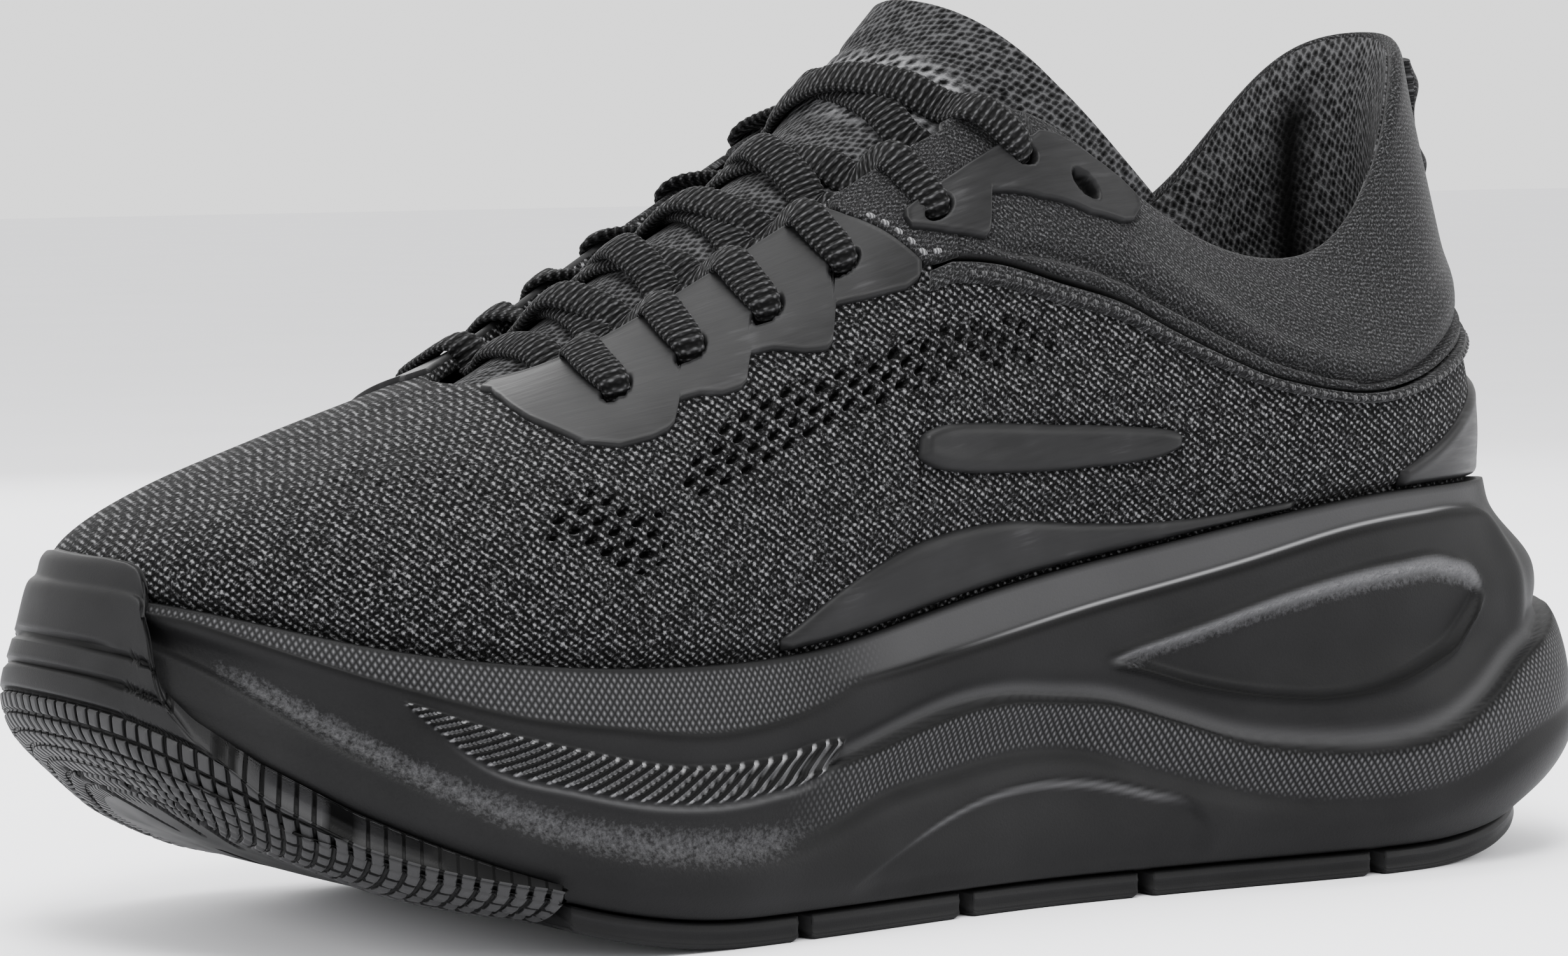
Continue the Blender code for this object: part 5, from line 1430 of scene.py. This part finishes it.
def lace_path():
    """The lace's middle line, evenly stepped and smoothed, with its facing and its size at each step."""
    stops = lace_stops()
    fine = spline(stops, False)(np.linspace(0, len(stops) - 1, len(stops) * 30))
    along = distances(fine[:, :3])
    marks = np.arange(0, along[-1], LACE_STEP)
    path = np.stack([np.interp(marks, along, column) for column in fine.T], -1)
    for _ in range(SMOOTHING):
        path[1:-1] = (path[:-2] + 2 * path[1:-1] + path[2:]) / 4
    return marks, path


def squared(wave):
    """A sine or cosine made fuller, which turns a circle into a rounded oblong."""
    return np.sign(wave) * np.abs(wave)**0.75


def build_lace():
    """A flat tubular braid with a rib across it every millimetre or so."""
    marks, path = lace_path()
    forward = unit(np.gradient(path[:, :3], axis=0))
    across = unit(np.cross(forward, unit(path[:, 3:6])))
    for _ in range(SMOOTHING):
        across[1:-1] = unit(across[1:-1] + across[:-2] + across[2:])
    up = unit(np.cross(across, forward))
    rib = 0.5 + 0.5 * np.cos(2 * np.pi * marks / RIB)
    turn = np.arange(LACE_SIDES) * 2 * np.pi / LACE_SIDES
    wide = squared(np.cos(turn)) * (path[:, 6:7] / 2 * (0.95 + 0.05 * rib)[:, None])
    tall = squared(np.sin(turn)) * (path[:, 7:8] / 2 * (0.74 + 0.26 * rib)[:, None])
    sections = path[:, None, :3] + across[:, None] * wide[..., None] + up[:, None] * tall[..., None]
    shape = sections.shape[:2]
    uv = np.stack([np.broadcast_to(marks[:, None], shape), np.broadcast_to(turn[None], shape) * 1.2], -1)
    # rib: painted highlight on the ribs' crests and painted shade between them
    made = add_tube("lace_braid", sections, BRAID, uv, {"rib": np.broadcast_to(rib[:, None], shape)})
    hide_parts("lace")
    length = float(distances(path[:, :3])[-1])


# ---- outsole
PODS = (   # name, from x, to x, width
    ("outsole_forefoot_pod", -81, -38.5, 27),
    ("outsole_ball_pod", -35.5, -3.5, 26),
    ("outsole_midfoot_pod", -0.5, 34.5, 22),
    ("outsole_arch_pod", 37.5, 82.5, 23),
)


def station_at(x, outer=True):
    """The station where the sole's bottom edge passes a given x."""
    t = np.linspace(0.4, TOE_T - 0.4, 800)
    if not outer:
        t = other_side(t)
    return t[np.abs(wall(t, 1.0)[:, 0] - x).argmin()]


# Toe rubber: its extra depth along x, and by station from the toe's tip where it ends on the wall
# and how far its cap reaches up the knit.
toe_swell = straight(((-150, 3.5), (-138, 5.5), (-122, 6.0), (-105, 3.8), (-86, 0.0)))
guard_top = straight((
    (0, 0.0), (1.11, 0.0), (1.15, 0.06), (1.20, 0.18), (1.28, 0.42), (1.42, 0.62), (1.7, 0.77),
    (2.2, 0.88), (2.8, 0.93),
))
guard_cap = straight((
    (0, 0.212), (0.5, 0.21), (0.8, 0.196), (0.95, 0.172), (1.04, 0.13), (1.09, 0.06), (1.11, 0.004),
    (1.12, 0.0),
))
TOE_MIDDLE = -112.0     # the x from which the toe's lower rings of rubber spread
TOE_END = -84.0         # the x where the toe rubber's legs end
WALL_FOOT = 0.97        # height on the wall where the rubber's upright part starts
FOOT_ROW, SIDE_ROW = 44, 50     # rows of the toe rubber at the wall's foot and on its upright part
GROOVE_PITCH = 4.7


def toe_profile(t):
    """The toe rubber's outer and inner profile at a station, from under the sole to its top edge."""
    near = abs(t - TOE_T)
    n = outward(t)
    foot = wall(t, 1.0)
    middle_x = max(foot[0], TOE_MIDDLE)
    middle = np.array((middle_x, np.interp(middle_x, [-112, TOE_END], [4.0, -1.5])))
    under = [middle + (foot[:2] - middle) * share for share in (0.04, 0.35, 0.65, 0.9)]
    inner = [np.array((*p, foam_bottom(p[0]) - GAP - 0.4)) for p in under]
    outer = [np.array((*p, foam_bottom(p[0]) - GAP - RUBBER - toe_swell(p[0]))) for p in under]
    proud = np.interp(near, [1.1, 2.6], [3.0, 2.3])
    for h in WALL_FOOT + (guard_top(near) - WALL_FOOT) * np.array((0, 0.11, 0.29, 0.59, 1.0)):
        p, low = wall(t, h), np.interp(h, [0.85, 1], [0, 1])
        inner.append(p + np.array((*(n * (GAP + 0.8)), -0.5 * low)))
        drop = 2.6 * low + toe_swell(foot[0]) * np.interp(h, [0.5, WALL_FOOT], [0, 0.85])
        outer.append(p + np.array((*(n * np.interp(h, [0.0, 0.8, WALL_FOOT], [2.2, 2.6, proud])), -drop)))
    cap = guard_cap(near)
    for share, stand in ((0.33, 1.9), (0.7, 1.5), (1.0, 1.0)):
        if cap > 0:
            inner.append(off_upper(t, cap * share, 0.4))
            outer.append(off_upper(t, cap * share, stand))
        else:
            inner.append(inner[-1] + np.array((0, 0, 0.12)))
            outer.append(outer[-1] + np.array((0, 0, 0.12)))
    return np.array(outer), np.array(inner)


def lines(x, pitch, width):
    """1 on thin lines every pitch, 0 between them."""
    return 1 - ease(np.abs(np.mod(x / pitch + 0.5, 1) - 0.5) * pitch, width * 0.5, width * 0.5 + 0.45)


def toe_cuts(ts, reach, above):
    """Where the toe's grooves, lugs and slots lie: reach runs round the toe and above up from its foot."""
    lugs = between(above, LUG_LOW, LUG_TOP, 0.2)
    rows = lines(above - LUG_TOP, TREAD_L, 0.3) * lugs
    for k in range(3):
        rows = np.maximum(rows, 1 - ease(np.abs(above - LUG_TOP - k * GROOVE_PITCH), 0.3, 0.7))
    columns = lines(reach, TREAD_W, 0.3) * lugs
    slots = np.zeros_like(above)
    for share in (0.37, 0.47, 0.60):
        middle = reach[-1, 0] * share + (above + 9) * 1.2
        slot = (1 - ease(np.abs(reach - middle), 1.6, 2.4)) * between(above, -26, -10, 1.5)
        slots = np.maximum(slots, slot)
    slots *= 1 - ease(np.abs(ts - TOE_T), 1.8, 2.3)[:, None]
    return lugs, rows, columns, slots


def build_toe_rubber():
    """The toe guard: a smooth cap, three grooves, a grid of small lugs, and slots underneath, painted shade
    in the grooves and slots.
    """
    lateral, medial = station_at(TOE_END), station_at(TOE_END, False)
    ts = np.concatenate([np.arange(lateral, 13.5, 0.016), np.arange(13.5, 16.5, 0.012),
                         np.arange(16.5, medial, 0.016)])
    q = np.linspace(0, 11, 120)
    outer, inner = np.swapaxes([[spline(face, False)(q) for face in toe_profile(t)] for t in ts], 0, 1)
    for _ in range(10):
        for grid in (outer, inner):
            grid[1:-1] = (grid[:-2] + 2 * grid[1:-1] + grid[2:]) / 4
    climb = distances(outer, 1)
    above = climb - climb[:, FOOT_ROW, None]
    reach = distances(outer[:, SIDE_ROW])[:, None]
    lugs, rows, columns, slots = toe_cuts(ts, reach, above)
    depth = np.maximum(0.7 * np.maximum(rows, columns), 2.4 * slots)
    edge = np.minimum(np.minimum(reach - reach[0], reach[-1] - reach), climb[:, -1:] - climb)
    depth = depth * ease(edge, 0.6, 1.4) + 0.9 * (1 - np.clip(edge / 0.9, 0, 1))**2
    normal = -surface_normals(outer)
    facing = np.sign((normal * (outer - inner)).sum(-1, keepdims=True))
    outer = outer - normal * facing * depth[..., None]
    uv = np.stack(np.broadcast_arrays(reach, above - LUG_TOP), -1)
    # groove: painted shade in the grooves and slots
    made = add_shell("toe_rubber", outer, inner, RUBBER_FINISH, uv=uv,
                     masks={"groove": np.maximum(slots, rows * (1 - lugs)), "lug": lugs * (1 - slots)})
    face_outwards(made)
    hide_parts("outsole_toe")


def build_pod(name, node, ts, width):
    """A tread pod: flush with the foam at its outer side, with slanted grooves across its foot and painted
    shade in them.
    """
    edge, n = wall(ts, np.ones_like(ts)), outward(ts)
    out = np.concatenate([np.full(6, 0.5), np.linspace(0.35, 0.9, 5), np.linspace(1.6, width, 52),
                          np.full(4, width), np.linspace(width, 0.5, 6)[1:-1]])
    drop = np.concatenate([np.linspace(0, 0.75, 6), np.linspace(0.82, 1, 5), np.full(52, 1.0),
                           np.linspace(0.9, 0.1, 4), np.zeros(4)])
    reach = distances(edge)[:, None]
    ends = np.minimum(reach, reach[-1] - reach)
    foot = (drop > 0.99) & (out > 2.0) & (out < width - 1.5)
    across, along = lines(reach + 0.55 * out, 5.4, 1.0), lines(out - 1.2, 7.2, 1.0)
    groove = np.maximum(across, along) * foot * ease(ends, 0.8, 1.5)
    ribs = np.broadcast_to(lines(drop * 5.0, 1.0, 0.25) * (out < 1.0), groove.shape)
    height = (RUBBER * drop - 1.5 * groove) * (1 - 0.12 * (1 - np.clip(ends / 1.2, 0, 1))**2)
    xy = edge[:, None, :2] - n[:, None] * out[:, None] - n[:, None] * (0.2 * ribs)[..., None]
    z = foam_bottom(xy[..., 0]) - GAP - height
    sections = np.concatenate([xy, np.maximum(z, 0.0)[..., None]], -1)
    uv = np.stack(np.broadcast_arrays(reach, out[None]), -1)
    # groove: painted shade in the grooves and between the side ribs
    made = add_tube(name, sections, RUBBER_FINISH, uv, {"groove": np.maximum(0.7 * groove, 0.35 * ribs)})
    face_outwards(made)
    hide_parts(node)


def build_pods():
    for side, outer in (("lateral", True), ("medial", False)):
        for node, start, end, width in PODS:
            ts = np.linspace(station_at(start, outer), station_at(end, outer), 76)
            build_pod(f"{node.replace('outsole', 'tread')}_{side}", f"{node}_{side}", ts, width)
    ends = {"lateral": (station_at(85.5), -0.28), "medial": (station_at(85.5, False) - COUNT, -0.36)}
    for side, (start, end) in ends.items():
        build_pod(f"tread_heel_pod_{side}", f"outsole_heel_pod_{side}", np.linspace(start, end, 110), 23)


# ---- inside the shoe
INSOLE_INSET = 6.0


def build_insole():
    """The sockliner, turned up round the heel and thin at the toe."""
    s = np.linspace(0.03, 14.75, 140)[:, None]
    w = np.linspace(-1, 1, 61)[None]
    outer, inner = cup(s, np.ones_like(s), INSOLE_INSET), cup(other_side(s), np.ones_like(s), INSOLE_INSET)
    face = outer + (inner - outer) * (w[..., None] + 1) / 2
    base = foot_bed(face[..., 0]) + 2 * GAP + 1.2
    side = np.interp(s, [0, 3, 6, 15], [13, 11, 5, 3.6])
    thick = 4.0 + (side - 4.0) * np.abs(w)**7 + 0.5 * (1 - w**2)
    thick = thick * (1 - 0.5 * ease(s, 14.2, 14.75))
    face[..., 2] = base + thick
    under = face.copy()
    under[..., 2] = base + 0.1 + np.maximum(thick - 4.0, 0) * 0.85
    made = add_shell("insole_pad", face, under, INSOLE, uv=face[..., :2])
    face_outwards(made)
    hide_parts("sockliner")


def finish_hidden_pieces():
    for node, look in (("strobel_board", BOARD), ("heel_counter", STIFF), ("toe_puff", STIFF),
                       ("aglet_lateral", STIFF), ("aglet_medial", STIFF)):
        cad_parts[node].material_slots[0].material = look


# ---- camera, lights and floor
LENS, SENSOR = 126.8, 36
LENS_SHIFT = (-0.0028, 0.0002)
CAMERA_AT = (-0.504275, -0.799059, 0.13303)
CAMERA_RIGHT, CAMERA_UP = (0.85017, -0.52642, -0.00945), (0.04293, 0.05141, 0.99775)
LAMPS = (   # name, place, size, power
    ("key", (-0.35, -0.55, 0.95), 0.4, 20.0),
    ("top", (0.1, 0.15, 1.1), 0.8, 14.0),
    ("side", (0.9, -0.6, 0.45), 0.5, 8.0),
    ("front", (-1.0, -0.1, 0.45), 0.5, 5.0),
    ("back", (0.3, 0.9, 0.5), 0.8, 6.0),
)
SKY_STRENGTH = 1.7
FLOOR_REACH = 6.0


def build_camera():
    """A long lens at the height of the collar, on the shoe's outer front quarter."""
    camera = bpy.data.cameras.new("camera")
    camera.sensor_width = SENSOR
    camera.lens = LENS
    camera.shift_x, camera.shift_y = LENS_SHIFT
    camera.clip_start, camera.clip_end = 0.05, 20
    seat = link("camera", camera)
    right, up = Vector(CAMERA_RIGHT), Vector(CAMERA_UP)
    seat.matrix_world = Matrix((right, up, right.cross(up))).transposed().to_4x4()
    seat.location = CAMERA_AT
    bpy.context.scene.camera = seat


def build_lights():
    """Five soft lamps turned to the shoe's middle, in a white room."""
    middle = (cad_low + cad_high) / 2
    for name, spot, size, power in LAMPS:
        lamp = bpy.data.lights.new(name, "AREA")
        lamp.size, lamp.energy = size, power
        made = link(name, lamp)
        made.location = spot
        made.rotation_euler = (middle - Vector(spot)).to_track_quat("-Z", "Y").to_euler()

    world = bpy.data.worlds.new("studio")
    world.use_nodes = True
    sky = world.node_tree.nodes["Background"]
    sky.inputs["Color"].default_value = (1, 1, 1, 1)
    sky.inputs["Strength"].default_value = SKY_STRENGTH
    bpy.context.scene.world = world


def build_floor():
    """Pale paper under the shoe, which isn't a part of it."""
    corners = [(x * FLOOR_REACH, y * FLOOR_REACH, 0) for x, y in ((-1, -1), (1, -1), (1, 1), (-1, 1))]
    floor = bpy.data.meshes.new("floor")
    floor.from_pydata(corners, [], [(0, 1, 2, 3)])
    paper = Look("pale_floor", 0.9)
    paper.paint(paper.ramp(paper.noise(paper.solid(), 0.01), (0.3, 0.86), (0.7, 0.88)))
    floor.materials.append(paper.made)
    link("floor", floor)


build_camera()
build_lights()
build_floor()
build_foam()
build_knit()
build_films()
build_collar()
build_collar_lining()
build_binding()
build_collar_front()
build_pull_tab()
build_tongue()
build_tongue_lining()
build_lace()
build_toe_rubber()
build_pods()
build_insole()
finish_hidden_pieces()
